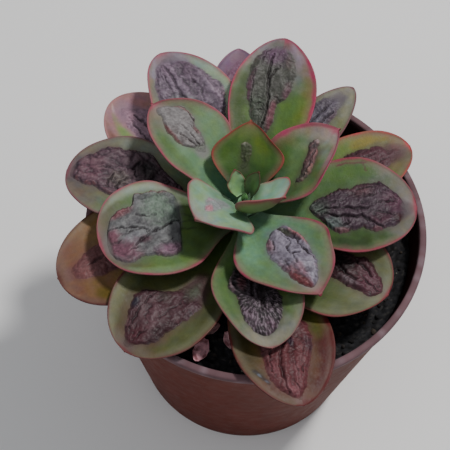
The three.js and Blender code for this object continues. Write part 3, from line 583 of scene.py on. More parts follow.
GROWTHS = {
    "04": growth(
        (20, -22, 35, -32, 50, -46, 62, -36, 74, -24, 79, -14),
        (20, -5, 35, 0, 50, 2, 70, 4, 79, -4),
        1.6, 3.5, 0.1, 0.2, 0.5, 0.2, 0.1, (146, 146, 146), (124, 132, 124), (160, 150, 150),
        (0.86, 0.9, 0.93),
        cracks=[(0.5, 0.5, 25, -12, 35, -14, 46, -10)],
        ridges=[(2.6, 1.5, 66, -12, 74, -10), (1.2, 0.5, 30, -20, 50, -30)],
        tints=[(50, -36, 16, 14, 70, 164, 138, 146), (70, -12, 10, 16, 90, 176, 118, 128),
            (30, -12, 12, 12, 40, 112, 116, 112)],
        melt=[(30, -20, 15, 30)]),
    "05": growth(
        (33, 5, 45, -2, 55, -10, 63, -12, 70, -2, 73, 5),
        (33, 18, 45, 20, 55, 22, 64, 28, 71, 26, 73, 15),
        1.7, 2.2, 0.25, 0.3, 0.5, 0.3, 0.1, (78, 84, 60), (56, 56, 42), (110, 108, 94), (0.5, 0.58, 0.46),
        cracks=[(0.8, 0.7, 34, 12, 48, 10, 60, 10)],
        ridges=[(1.1, 0.8, 66, 28, 71.5, 20, 71, 8), (1.0, 0.5, 40, 20, 55, 20, 66, 26)],
        tints=[(71, 18, 5, 12, 80, 140, 134, 122)],
        melt=[(35, 10, 12, 30)]),
    "06": growth(
        (40, -42, 46, -48, 52, -50, 58, -45, 64, -36, 70, -20, 76, -4, 81, 14),
        (40, -30, 46, -24, 52, -14, 58, -2, 64, 12, 70, 28, 75, 40, 81, 34),
        3.0, 1.5, 0.6, 0.1, 0.6, 0.6, 0.1, (84, 64, 70), (50, 38, 44), (134, 96, 102), (0.74, 0.92, 0.82),
        cracks=[(0.45, 0.45, 50, -36, 58, -26, 66, -10, 74, 8)],
        ridges=[(0.7, 0.7, 47, -44, 56, -40, 64, -28, 72, -10, 79, 12)],
        # The pale pink tint at t .80, v .22 is a painted highlight on the growth's upper rim.
        tints=[(66, -10, 20, 40, 60, 108, 70, 76), (80, 22, 5, 16, 90, 170, 134, 142),
            (60, -38, 10, 10, 50, 138, 96, 96), (50, -34, 12, 14, 40, 84, 78, 66)]),
    "07": growth(
        (25, 10, 30, 2, 35, -12, 40, -22, 50, -26, 60, -26, 70, -30, 80, -34, 88, -34, 93, -16),
        (25, 62, 30, 60, 40, 56, 50, 55, 60, 56, 66, 58, 74, 56, 84, 48, 90, 36, 93, 20),
        4.4, 1.5, 0.45, 0.8, 0.3, 0.4, 0.2, (130, 124, 134), (62, 50, 58), (178, 172, 184), (0.7, 0.68, 0.74),
        cracks=[(0.75, 2.4, 34, 24, 42, 28, 47, 26, 49, 17, 53, 10, 58, 12),
            (0.6, 2.0, 58, 12, 58.5, 20, 60, 29), (0.5, 1.4, 58, 12, 64, 10, 70, 10),
            (0.6, 2.0, 44, 40, 50, 37, 56, 37, 62, 42, 68, 47, 74, 52), (0.5, 1.0, 36, 3, 40, -2, 46, -9),
            (0.4, 0.8, 60, -6, 66, -10, 72, -16), (1.9, 2.6, 27, 36, 34, 37, 42, 40, 48, 42)],
        ridges=[(0.9, 1.2, 27, 58, 38, 52, 48, 49, 60, 52), (1.4, 0.6, 66, 12, 76, 6, 88, 10)],
        # The dark maroon tint at t .84, v -.18 is painted shade on the growth's steep lower flank.
        tints=[(84, -18, 24, 34, 100, 112, 58, 60), (76, 8, 12, 14, 70, 132, 92, 100),
            (38, -12, 12, 14, 60, 156, 112, 118), (44, 50, 20, 9, 90, 150, 92, 92),
            (33, 40, 10, 10, 80, 98, 112, 82), (80, 30, 12, 20, 60, 160, 156, 164)],
        dust=0.35),
    "08": growth(
        (45, -12, 50, -22, 58, -32, 66, -38, 72, -48, 78, -58, 85, -64, 91, -56, 96, -25),
        (45, 2, 50, 14, 56, 22, 62, 36, 70, 40, 80, 40, 86, 30, 89, 18, 92, 30, 96, 15),
        3.4, 1.4, 0.35, 0.8, 0.35, 0.15, 0.15, (142, 136, 140), (84, 68, 70), (166, 160, 164),
        (0.63, 0.64, 0.61),
        cracks=[(0.5, 1.6, 52, -2, 57, -5, 64, -7, 74, -9), (0.4, 1.2, 54, 7, 60, 8, 65, 10, 70, 15),
            (0.5, 1.4, 64, -34, 71, -42, 78, -52, 85, -62), (0.35, 0.7, 50, 10, 52, 0, 51, -10),
            (0.8, 1.6, 84, 34, 89, 24, 92, 28), (0.35, 0.6, 60, -20, 68, -22, 76, -28)],
        ridges=[(0.7, 0.5, 50, -8, 60, -15, 70, -20), (0.6, 0.5, 52, 12, 62, 22)],
        tints=[(63, -26, 6, 10, 70, 150, 104, 106), (75, 34, 14, 10, 60, 158, 116, 120),
            (48, 0, 7, 20, 60, 134, 146, 130), (80, -56, 14, 10, 70, 156, 106, 108),
            (80, 36, 16, 12, 90, 112, 66, 70), (64, 36, 10, 10, 80, 126, 84, 84),
            (89, 26, 4, 8, 90, 40, 28, 30)],
        melt=[(46, 0, 10, 30)]),
    "09": growth(
        (35.5, -76, 38, -84, 44, -86, 50, -81, 60, -80, 68, -78, 70, -60, 74, -62, 82, -62, 88, -56, 91, -40,
         93, -26, 95.5, 0),
        (35.5, -60, 38, -10, 40, 4, 43, 38, 46, 58, 52, 64, 60, 64, 64, 52, 70, 54, 76, 58, 82, 68, 88, 76,
         93, 72, 95.5, 50),
        4.4, 1.2, 0.55, 0.9, 0.25, 0.2, 0.12, (112, 106, 104), (70, 62, 68), (136, 130, 128),
        (0.66, 0.74, 0.79),
        cracks=[(0.8, 2.4, 37, -12, 43, -11, 50, -3, 57, 3, 66, 4),
            (0.6, 1.6, 64, 0, 70, -8, 78, -16, 86, -24, 93, -28), (0.9, 1.4, 63, 6, 68, 12, 73, 20, 77, 28),
            (0.4, 0.9, 67, -5, 75, -5, 86, -3), (0.45, 1.1, 55.5, -31, 61, -27, 65, -31, 70, -36),
            (0.4, 0.8, 74, 28, 78, 36, 84, 42), (0.4, 0.7, 84, 10, 88, 14, 92, 12),
            (0.5, 1.2, 68, -72, 70, -60, 73, -52), (0.35, 0.6, 48, 30, 56, 34, 64, 40)],
        ridges=[(1.0, 0.5, 42, -80, 52, -76, 66, -74), (1.2, 0.5, 72, -56, 80, -56, 87, -50),
            (1.2, 0.6, 47, 56, 54, 60, 62, 56)],
        tints=[(50, -40, 20, 50, 80, 110, 124, 104), (76, 10, 12, 18, 55, 150, 142, 144),
            (70, 17, 8, 12, 85, 84, 52, 60), (88, 40, 18, 45, 100, 124, 78, 90),
            (92, -5, 10, 30, 100, 126, 78, 88), (80, -52, 12, 14, 90, 134, 78, 82),
            (54, 50, 14, 22, 90, 132, 92, 108), (55, -80, 16, 8, 90, 148, 96, 98),
            (68.5, -76, 2, 5, 90, 216, 190, 186), (38, -50, 6, 30, 50, 88, 88, 92)],
        melt=[(97, 10, 7, 90), (37, -30, 6, 50)]),
    "10": growth(
        (40, -12, 44, -20, 52, -22, 61, -19, 63, -34, 68, -44, 76, -50, 86, -54, 93, -50, 97, -30),
        (40, 24, 46, 38, 53, 46, 60, 60, 68, 66, 76, 74, 84, 80, 92, 74, 97, 50),
        3.8, 2.4, 0.35, 0.75, 0.35, 0.2, 0.1, (98, 98, 88), (72, 66, 66), (120, 116, 112), (0.47, 0.48, 0.5),
        cracks=[(0.8, 2.2, 40, 8, 50, 5, 58, 5, 64, 7, 69, 13, 76, 20, 84, 24, 90, 30),
            (0.6, 1.6, 67, 10, 72, 14, 76, 12, 80, 4, 83, -6), (0.35, 0.7, 54, 8, 55, 20, 54, 32),
            (0.35, 0.7, 57.5, 10, 58.5, 22, 58, 34), (0.35, 0.7, 61, 12, 62, 24, 62, 34),
            (0.35, 0.6, 50, 10, 51, 20), (0.4, 0.9, 63, -4, 64, -14, 62, -24),
            (0.4, 0.8, 50, 38, 58, 46, 68, 52, 78, 60), (0.4, 0.7, 82, 50, 88, 56, 94, 52)],
        ridges=[(1.3, 0.9, 42, -8, 50, -10, 60, -8), (1.2, 0.6, 64, -30, 70, -40, 78, -44)],
        tints=[(55, 30, 16, 30, 60, 92, 104, 84), (52, -10, 15, 14, 95, 146, 98, 104),
            (68, -36, 8, 16, 80, 128, 92, 100), (64, 58, 20, 12, 90, 118, 84, 98),
            (92, 20, 13, 80, 90, 124, 92, 114), (86, -30, 6, 14, 50, 118, 92, 88)],
        melt=[(98, 15, 10, 90)], ripple=0.4),
    "11": growth(
        (32.5, -6, 36, -18, 40, -30, 45, -50, 50, -58, 56, -60, 59, -50, 65, -46, 70, -54, 75, -62, 82, -58,
         90, -50, 94, -30),
        (32.5, 6, 37, 24, 43, 32, 50, 36, 54, 42, 60, 40, 66, 48, 73, 56, 80, 60, 85, 50, 90, 36, 94, 12),
        3.9, 1.6, 0.6, 0.3, 0.75, 0.3, 0.15, (96, 76, 88), (48, 40, 48), (122, 106, 114), (0.39, 0.36, 0.39),
        cracks=[(0.8, 1.8, 37, -10, 44, -3, 50, -3, 58, -4, 66, -6, 73, -2),
            (1.0, 2.6, 42, -14, 50, -23, 55, -20, 60, -23, 66, -22, 70, -32, 75, -45, 79, -54),
            (0.7, 1.4, 48, -34, 53, -42, 58, -36, 56, -28), (0.6, 1.2, 70, -10, 76, -14, 82, -20, 86, -30),
            (0.5, 1.0, 72, 2, 80, 10, 88, 12), (0.5, 1.0, 64, 34, 70, 38, 76, 44),
            (0.5, 0.9, 60, 20, 68, 20, 76, 24), (0.5, 0.9, 42, 8, 48, 10, 56, 14)],
        ridges=[(1.0, 0.7, 42, -28, 47, -44, 54, -54), (1.0, 0.6, 44, -8, 56, -12, 68, -14),
            (0.8, 0.5, 78, 34, 86, 30, 91, 16)],
        tints=[(38, 0, 10, 30, 90, 112, 126, 114), (47, -40, 10, 24, 90, 122, 138, 132),
            (88, 10, 14, 40, 80, 116, 72, 92), (66, 34, 14, 20, 70, 122, 86, 92),
            (78, -30, 10, 20, 60, 112, 70, 84), (90, -36, 7, 18, 90, 78, 40, 46),
            (53, -54, 10, 10, 80, 142, 98, 104), (74, -54, 7, 10, 70, 138, 88, 96),
            (54, 38, 5, 6, 80, 84, 42, 40), (74, 46, 12, 14, 60, 92, 64, 76)],
        melt=[(94, -10, 9, 50)], ripple=0.8, cushion=0.2),
    "12": growth(
        (32, -36, 38, -52, 46, -60, 53, -60, 60, -50, 70, -50, 80, -52, 87, -46, 92, -20),
        (32, 10, 40, 24, 50, 40, 60, 52, 70, 55, 80, 50, 87, 42, 92, 10),
        3.2, 1.8, 0.3, 0.2, 0.3, 0.3, 0.5, (56, 50, 54), (26, 22, 26), (112, 102, 112), (0.52, 0.46, 0.48),
        cracks=[(1.0, 1.6, 46, 2, 54, -6, 62, -12), (0.8, 1.4, 60, 20, 68, 10, 74, 4),
            (0.8, 1.2, 62, 40, 70, 30, 78, 30)],
        ridges=[(0.5, 0.9, 47, 10, 54, 3, 60, -2), (2.6, 0.8, 48, -30, 53, -30),
            (0.7, 0.7, 38, -46, 46, -55, 56, -52)],
        tints=[(50, -30, 9, 18, 80, 76, 46, 50), (78, -30, 12, 30, 70, 104, 88, 100),
            (86, 12, 8, 30, 70, 104, 82, 96), (48, -54, 12, 6, 80, 134, 120, 122),
            (57, 30, 12, 24, 50, 44, 44, 42)],
        melt=[(34, 0, 10, 60)], hair=(0.6, 0.1)),
    "13": growth(
        (30, -40, 40, -50, 48, -62, 55, -77, 60, -72, 66, -76, 71, -68, 77, -76, 82, -76, 87, -72, 93, -64,
         98, -50),
        (30, 0, 40, 10, 50, 24, 60, 36, 68, 46, 76, 42, 84, 38, 92, 36, 98, 34),
        3.8, 1.5, 0.7, 0.1, 0.3, 0.5, 0.05, (102, 80, 92), (44, 36, 44), (124, 106, 112), (0.66, 0.62, 0.62),
        cracks=[(0.8, 1.4, 66, 40, 70, 24, 68, 6, 62, -6), (0.7, 1.2, 74, 30, 76, 12, 73, -6),
            (0.8, 1.4, 60, -10, 63, -30, 60, -50), (0.6, 1.0, 70, -14, 78, -20, 84, -18)],
        ridges=[(1.4, 0.5, 80, 20, 88, 10, 94, 0), (1.4, 0.5, 78, -40, 86, -34, 93, -20)],
        tints=[(54, -35, 12, 40, 90, 50, 44, 48), (70, 5, 10, 30, 45, 104, 104, 92),
            (88, -10, 12, 60, 85, 118, 84, 98), (97, -30, 4, 30, 80, 84, 78, 92),
            (60, -70, 12, 10, 50, 92, 84, 88)],
        melt=[(99, -10, 5, 90)], cushion=1.0),
    "14": growth(
        (43, -50, 52, -66, 60, -76, 66, -84, 72, -84, 78, -74, 86, -70, 92, -60, 96.5, -40),
        (43, 0, 52, 20, 60, 40, 68, 62, 75, 76, 81, 78, 87, 64, 93, 52, 96.5, 30),
        3.4, 2.0, 0.4, 0.6, 0.9, 0.5, 0.05, (108, 92, 102), (60, 54, 60), (146, 130, 140), (0.87, 0.88, 0.97),
        cracks=[(0.9, 0.9, 62, 0, 70, 6, 78, 10, 86, 6, 93, 10),
            (0.6, 0.8, 64, -34, 72, -40, 79, -34, 84, -44), (0.5, 0.7, 76, 24, 82, 32, 88, 30),
            (0.45, 0.6, 70, -14, 76, -20, 82, -12, 88, -20)],
        ridges=[(1.6, 1.0, 62, -12, 72, -4, 84, -6, 92, -2), (1.3, 0.8, 66, 20, 76, 18, 86, 20),
            (1.2, 0.7, 68, -60, 76, -58, 84, -60)],
        tints=[(62, 20, 14, 50, 80, 94, 106, 96), (86, -42, 12, 30, 70, 94, 74, 86),
            (90, 10, 10, 40, 50, 116, 94, 106), (68, -66, 12, 14, 60, 134, 112, 124)],
        melt=[(97, 0, 10, 90), (50, -20, 12, 50)], sway=3.2, cushion=0.3),
    "15": growth(
        (40, -14, 50, -18, 60, -18, 70, -18, 78, -20, 86, -28, 92, -36, 96.5, -20),
        (40, 24, 50, 40, 60, 46, 70, 48, 76, 60, 81, 58, 87, 46, 93, 40, 96.5, 16),
        3.0, 1.8, 0.35, 0.3, 0.5, 0.5, 0.14, (108, 74, 84), (44, 32, 38), (132, 104, 118), (0.34, 0.27, 0.26),
        cracks=[(1.3, 2.0, 58, 20, 66, 10, 72, 4, 78, 2), (0.9, 1.5, 70, 40, 78, 34, 86, 24),
            (0.6, 1.0, 80, 12, 88, 4, 94, -6)],
        ridges=[(1.4, 1.0, 66, -8, 74, -8, 84, -10), (0.9, 0.6, 76, 50, 84, 40)],
        tints=[(64, 20, 14, 34, 95, 36, 28, 30), (76, -8, 10, 10, 70, 132, 120, 130),
            (88, 10, 14, 50, 80, 130, 82, 102)],
        melt=[(42, 10, 14, 50)]),
    "16": growth(
        (48, -20, 58, -34, 70, -42, 82, -42, 90, -30, 94.5, -10),
        (48, 20, 58, 46, 66, 52, 76, 50, 84, 46, 90, 34, 94.5, 10),
        1.9, 2.2, 0.35, 0.3, 0.5, 0.3, 0.2, (112, 74, 82), (62, 44, 50), (124, 94, 102), (0.44, 0.37, 0.41),
        cracks=[(0.6, 0.9, 60, 20, 70, 24, 80, 20), (0.6, 0.8, 66, -10, 76, -12, 86, -6)],
        tints=[(70, 46, 12, 10, 70, 74, 50, 54)],
        melt=[(93, 0, 12, 60), (50, 0, 12, 60)]),
    "17": growth(
        (37, 16, 44, 12, 50, 4, 56, -6, 61, -28, 66, -50, 72, -58, 79, -52, 88, -44, 94, -34, 98, -30),
        (37, 30, 43, 40, 49, 55, 57, 61, 65, 55, 72, 46, 80, 44, 87, 48, 91, 40, 94, 20, 98, 12),
        3.0, 1.7, 0.4, 0.4, 0.16, 0.5, 0.08, (116, 80, 86), (60, 40, 48), (136, 110, 116), (0.33, 0.3, 0.32),
        cracks=[(0.5, 0.8, 62, -26, 68, -30, 76, -32, 84, -28, 90, -30),
            (0.45, 0.6, 54, 20, 62, 22, 68, 14, 76, 14), (0.4, 0.6, 68, -12, 73, -16, 79, -10, 82, 0),
            (0.45, 0.6, 84, 12, 88, 2, 94, -2), (0.4, 0.5, 52, 42, 60, 40, 68, 34)],
        ridges=[(1.9, 0.9, 70, -4, 76, -2), (0.8, 0.7, 78, -42, 84, -40, 88, -36),
            (1.4, 0.5, 56, 40, 64, 36, 72, 30)],
        tints=[(47, 28, 12, 24, 85, 116, 126, 104), (76, -46, 5, 12, 90, 64, 64, 80),
            (74, -12, 9, 24, 80, 146, 106, 112), (91, -5, 10, 40, 90, 110, 54, 64),
            (81, 36, 13, 22, 85, 74, 38, 46), (80, 8, 5, 12, 60, 150, 108, 114),
            # The small pale pink tint at t .87, v -.42 is a painted glint on the growth's edge.
            (87, -42, 4, 6, 80, 184, 138, 138), (60, 50, 8, 12, 50, 126, 98, 106),
            (62, -10, 6, 20, 50, 108, 108, 96)],
        melt=[(99, -10, 6, 70), (44, 30, 20, 40)], cushion=0.15),
    "18": growth(
        (46, -34, 55, -44, 65, -50, 74, -52, 82, -60, 88, -62, 93, -50, 97.5, -25),
        (46, 30, 54, 46, 60, 58, 68, 60, 75, 52, 84, 38, 92, 26, 97.5, 8),
        3.2, 2.0, 0.35, 0.3, 0.16, 0.55, 0.08, (130, 78, 80), (76, 40, 44), (148, 106, 106),
        (0.45, 0.36, 0.4),
        cracks=[(0.95, 1.2, 66, 4, 70, -10, 76, -20, 82, -26, 88, -31, 94, -42),
            (0.6, 1.0, 58, 22, 64, 15, 71, 7), (0.5, 0.8, 58, -14, 66, -28, 74, -38, 82, -48),
            (0.4, 0.6, 72, 34, 79, 24, 85, 24), (0.4, 0.6, 87, -12, 90, -2, 94, 0),
            (0.35, 0.5, 73, 12, 78, 6, 83, 10, 88, 6)],
        ridges=[(1.1, 1.0, 70, 0, 79, -14, 86, -22, 93, -32), (1.0, 0.8, 66, -38, 74, -44, 83, -54),
            (1.6, 0.5, 70, 22, 80, 12, 90, -2)],
        tints=[(71, 46, 7, 16, 80, 84, 54, 64), (62, 30, 7, 20, 60, 126, 100, 100),
            (66, 12, 6, 10, 80, 84, 68, 88), (93, -20, 8, 30, 80, 164, 108, 112),
            (83, 4, 10, 22, 60, 144, 90, 94), (79, -40, 7, 10, 60, 156, 98, 104),
            (56, 6, 7, 20, 60, 100, 88, 98), (80, -54, 10, 8, 60, 152, 104, 104)],
        melt=[(98.5, -10, 4, 50), (50, 0, 12, 50)], cushion=0.2),
    "19": growth(
        (48, -24, 60, -32, 70, -34, 80, -34, 88, -20, 91.5, 5),
        (48, 40, 60, 66, 70, 80, 80, 84, 87, 70, 91.5, 40),
        2.2, 1.6, 0.35, 0.2, 0.9, 0.3, 0.3, (104, 94, 104), (64, 56, 64), (134, 128, 136), (0.57, 0.56, 0.61),
        cracks=[(0.7, 1.2, 60, 10, 70, 0, 80, -6), (0.6, 1.0, 62, 40, 74, 34, 84, 26)],
        ridges=[(0.9, 0.6, 64, 24, 76, 16, 86, 10)],
        tints=[(78, -24, 10, 16, 70, 96, 70, 80), (68, 40, 14, 50, 50, 108, 104, 118)],
        melt=[(92, 20, 10, 80)]),
    # Growth 20's tone lifts it well above its base colour: painted light that makes up for the shade of the
    # leaves over it.
    "20": growth(
        (44, -40, 56, -54, 68, -56, 80, -50, 88, -30, 93, 0),
        (44, 10, 56, 24, 68, 32, 80, 34, 88, 28, 93, 10),
        2.4, 2.2, 0.3, 0.2, 0.9, 0.3, 0.1, (98, 80, 88), (58, 46, 54), (120, 100, 106), (1.9, 1.8, 2.0),
        cracks=[(1.0, 1.6, 60, -10, 72, -10, 84, -6), (0.7, 1.0, 60, 14, 74, 16, 86, 12)],
        ridges=[(1.2, 0.7, 62, -30, 76, -28)],
        tints=[(86, 10, 8, 30, 50, 124, 96, 104)],
        melt=[(92, 10, 12, 80)]),
    "21": growth(
        (52, -34, 64, -54, 78, -64, 88, -56, 95.5, -30),
        (52, 34, 64, 54, 78, 64, 88, 56, 95.5, 30),
        2.2, 2.4, 0.25, 0.2, 0.8, 0.3, 0.1, (116, 86, 106), (70, 56, 68), (130, 108, 126), (0.88, 0.73, 0.81),
        cracks=[(0.8, 1.2, 60, 0, 74, 4, 88, 0)],
        melt=[(95, 0, 12, 90)]),
    "22": growth(
        (50, -34, 60, -40, 70, -40, 78, -34, 86, -26, 93, -10),
        (50, 14, 60, 26, 70, 30, 80, 32, 87, 36, 93, 24),
        2.3, 2.2, 0.25, 0.2, 0.9, 0.2, 0.15, (106, 68, 70), (68, 42, 46), (122, 84, 86), (0.86, 0.84, 0.82),
        cracks=[(0.8, 1.2, 60, -10, 72, -6, 84, 4)],
        ridges=[(1.0, 0.6, 66, 10, 80, 16)],
        tints=[(86, 20, 8, 20, 50, 118, 70, 70)],
        melt=[(95, 10, 5, 40)]),
}


def blur(field, radius):
    """Box blur twice along both ways, radius in cells."""
    n = 2 * radius + 1
    for axis in (0, 1, 0, 1):
        pad = [(0, 0), (0, 0)]
        pad[axis] = (radius + 1, radius)
        total = np.cumsum(np.pad(field, pad, mode="edge"), axis=axis)
        high, low = (np.take(total, range(k, k + field.shape[axis]), axis=axis) for k in (n, 0))
        field = (high - low) / n
    return field


def edge_curve(side, t, length):
    """An outline through its pairs, with its corners rounded a little."""
    n = max(1, int(round(0.9 / (length * (t[1] - t[0])))))
    padded = np.pad(np.interp(t, *side.T), n, mode="edge")
    return np.convolve(padded, np.ones(2 * n + 1) / (2 * n + 1), mode="valid")


def build_growth(code):
    g, leaf = GROWTHS[code], LEAVES[code]
    noise = Noise(int(code) * 13 + 5)
    half_middle = leaf.half((g.start + g.end) / 2)
    widest = max(b[1] - a[1] for a, b in zip(g.right, g.left)) * half_middle
    rows = int(np.clip(leaf.length * (g.end - g.start) / GROWTH_STEP, 40, 150))
    columns = int(np.clip(widest / GROWTH_STEP_ACROSS, 30, 110))
    t = np.linspace(g.start, g.end, rows)
    x, half = leaf.flat(t, 1.0)

    def outline(side, sign, k):
        ragged = 0.9 * noise.grad(x / 3.6, k) + 0.5 * noise.grad(x / 1.3, k + 7.5)
        return edge_curve(side, t, leaf.length) + sign * (0.6 + 0.7 * g.nodules) * ragged / half

    right, left = outline(g.right, -1, 0.5), outline(g.left, 1, 3.5)
    # The two ends close in a round.
    from_end = (np.minimum(t - g.start, g.end - t) * leaf.length)[:, None]
    close = np.sqrt(np.clip(1 - (1 - np.clip(from_end / END_ROUND, 0, 1)) ** 2, 0.02, 1))
    half = half[:, None]
    middle = ((left + right) / 2)[:, None]
    spread = np.maximum(((left - right) / 2)[:, None], 0.4 / half) * close
    s = np.linspace(-1, 1, columns)[None, :]
    w = 1.4 * s - 0.4 * s ** 3
    t = np.broadcast_to(t[:, None], (rows, columns))
    v = np.clip(middle + spread * w, -0.97, 0.97)
    x, y = leaf.flat(t, v)
    yc = v * half_middle
    sway = g.sway * noise.grad(x / 6.5 + 80, y / 6.5)
    wx = x + 0.7 * noise.grad(x / 2.6 + 40, y / 2.6) + 0.25 * noise.grad(x / 0.9, y / 0.9 + 30)
    wy = y + 0.7 * noise.grad(x / 2.6, y / 2.6 + 60) + 0.25 * noise.grad(x / 0.9 + 70, y / 0.9)
    edge = np.minimum((1 - np.abs(w)) * spread * half, from_end)
    _, melt = growth_distance(code, t, v)
    height = g.height * 0.66
    rise = smooth(0, 1, np.clip(edge / (g.edge * (1.3 + 2.2 * melt)), 0, 1)) ** 0.8 * (1 - 0.45 * melt)
    dome = 0.55 + 0.45 * np.sin(np.pi / 2 * np.clip(edge / 6.0, 0, 1))
    h = height * (0.5 + 0.26 * noise.fbm(x / 8 + 3, y / 8, 2)) * dome
    amount = height * 0.2
    h += g.plate * amount * 0.5 * noise.fbm(x / 4.5, y / 3.5, 2)
    h += g.folds * amount * 0.65 * noise.ridged(wx / 7.5, (yc + sway + 0.9 * (wy - y)) / 2.8, 3)
    h += (0.15 + g.brain) * amount * 0.7 * noise.ridged((wx + sway) / 4.2 + 11, (wy + sway) / 3.4 + 4, 3)
    near, far = noise.cells(wx / 1.9, wy / 1.6)
    h += (0.05 + 0.3 * g.brain) * (np.clip(far - near, 0, 0.8) - 0.3)
    near, far = noise.cells((wx + 0.6 * sway) / 6.0 + 21, (wy + 0.6 * sway) / 3.4 + 4)
    h += 0.9 * g.cushion * (np.sqrt(np.clip((far - near) / 0.9, 0, 1)) - 0.5)
    grain = noise.fbm(wx / 1.3 + 9, wy / 1.1, 2)
    h += 0.11 * grain
    fibre = noise.grad(wx / 5.0, (yc + 0.15 * sway) / 0.95) + 0.5 * noise.grad(wx / 2.4, wy / 0.45)
    if g.hair:
        hx, hy = leaf.flat(*g.hair)
        turn, away = np.arctan2(y - hy, x - hx), np.hypot(x - hx, y - hy)
        hair = noise.grad(away / 2.6, 15 * turn + 0.5 * sway)
        hair = hair + 0.7 * noise.grad(away / 1.8 + 30, 27 * turn + 0.5 * sway)
        fibre = fibre + (1.6 * hair - fibre) * smooth(1.0, 3.0, away)
    h += 0.24 * (g.fibre + 0.1) * fibre
    ripple = noise.grad(wx / 0.62, y / 4.5 + 17) * smooth(-0.1, 0.4, noise.fbm(x / 7 + 71, y / 5, 2))
    ripple = ripple * g.ripple
    h += 0.3 * ripple
    bead, _ = noise.cells(wx / 1.7 + 31, wy / 1.5 + 7)
    beads = np.clip(1 - (bead / 0.62) ** 2, 0, 1)
    rim = smooth(2.8, 0.8, edge) * (1 - melt) * smooth(-0.1, 0.5, noise.grad(x / 4 + 5, y / 4 + 33))
    h += 0.8 * g.nodules * (beads - 0.35) * rim
    for width, depth, *line in g.ridges:
        d, _ = line_distance(wx, wy, leaf.path(line))
        h += 0.85 * depth * np.exp(-(d / width) ** 2) * (0.75 + 0.5 * beads)
    cracked = np.zeros(x.shape)
    for width, depth, *line in g.cracks:
        d, share = line_distance(wx, wy, leaf.path(line))
        taper = 0.45 + 0.55 * np.sin(np.pi * np.clip(share, 0.02, 0.98)) ** 0.5
        taper = taper * (1 + 0.5 * noise.grad(x / 3.5 + 13, y / 3.5))
        wide = np.maximum(0.2, 0.6 * width * taper)
        h -= 0.65 * depth * np.exp(-(d / wide) ** 2) * taper
        h += 0.12 * depth * np.exp(-((d - 2.2 * wide) / (1.3 * wide)) ** 2)
        # Narrow, deep cracks get the darkest painted shade.
        dark = np.clip((depth / width - 0.6) / 1.6, 0.15, 1) * np.clip(taper, 0, 1)
        cracked = np.maximum(cracked, smooth(1.5, 0.2, d / wide) * dark)
    lift = np.maximum(h, 0.3) * rise
    lift = np.where(edge <= 1e-6, -FOOT_DEPTH, lift - FOOT_DEPTH * smooth(FOOT_DEPTH, 0.0, edge))
    # Colours: tints, a painted highlight on the ridges, painted shade in the creases and cracks, and the
    # leaf's own colour at the foot, darkened there as painted shade.
    fine, wide = h - blur(h, 4), h - blur(h, 10)
    crease = np.clip(smooth(0.02, -0.22, fine) * 0.6 + smooth(0.05, -0.5, wide) * 0.5, 0, 1)
    crest = np.clip(smooth(0.0, 0.2, fine) * 0.6 + smooth(0.0, 0.5, wide) * 0.4, 0, 1)
    broad = noise.fbm(x / 6 + 50, y / 6, 3)
    base = srgb(g.base)
    colour = base * (1 + 0.14 * broad)[..., None]
    colour = mix(colour, g.low, 0.3 * smooth(0.1, 0.8, broad))
    colour = spot(t, v, g.tints, colour, 0.5 * broad + 0.4 * noise.grad(x / 1.6, y / 1.6))
    colour = mix(colour, (138, 84, 88), 0.5 * rim * beads * min(1.0, g.nodules * 1.3))
    # Painted highlight on the ridges from the high colour, and painted shade in the creases from the low one.
    colour *= 1 + (srgb(g.high) / base - 1) * (0.45 * crest)[..., None]
    colour *= 1 + (srgb(g.low) / base - 1) * (0.6 * crease)[..., None]
    colour *= (1 + 0.2 * grain + 0.5 * ripple + 0.5 * g.fibre * fibre * (0.4 + 0.6 * crest))[..., None]
    # A pale bloom laid mostly on the ridges, so partly real bloom and partly a painted highlight.
    dust = smooth(0.25, 0.85, noise.fbm(x / 1.2, y / 1.2 + 20, 3)) * (0.3 + 0.7 * crest)
    colour = mix(colour, (150, 142, 148), g.dust * dust)
    if g.hair:
        tuft = smooth(0.12, 0.5, hair) * smooth(1.5, 5.0, away) * smooth(g.hair[0] - 0.1, g.hair[0] + 0.1, t)
        colour = mix(colour, (176, 164, 176), 0.55 * tuft)
    colour = mix(colour * np.array(g.tone), (26, 17, 20), 0.7 * cracked)
    # The leaf's own colour at the foot, darkened to 0.85 as painted shade where the growth stands on the
    # leaf.
    green = leaf_tint(code, t, v, Noise(int(code) * 7 + 1), False) * 0.85
    colour = mix(colour, green, np.clip(smooth(1.0 + 3.5 * melt, 0.0, edge) * (0.6 + 0.3 * melt), 0, 1))
    points = leaf.point(t, v, np.minimum(lift, g.height))
    slot = "pale_growth" if code in ("04", "07", "08", "09") else "growth"
    faces = grid_faces(rows, columns)
    build_piece("growth_" + code + "_relief", points, faces, colour, GROWTH, "growth_" + code, slot)


for code in LEAVES:
    build_leaf(code)
for code in GROWTHS:
    build_growth(code)


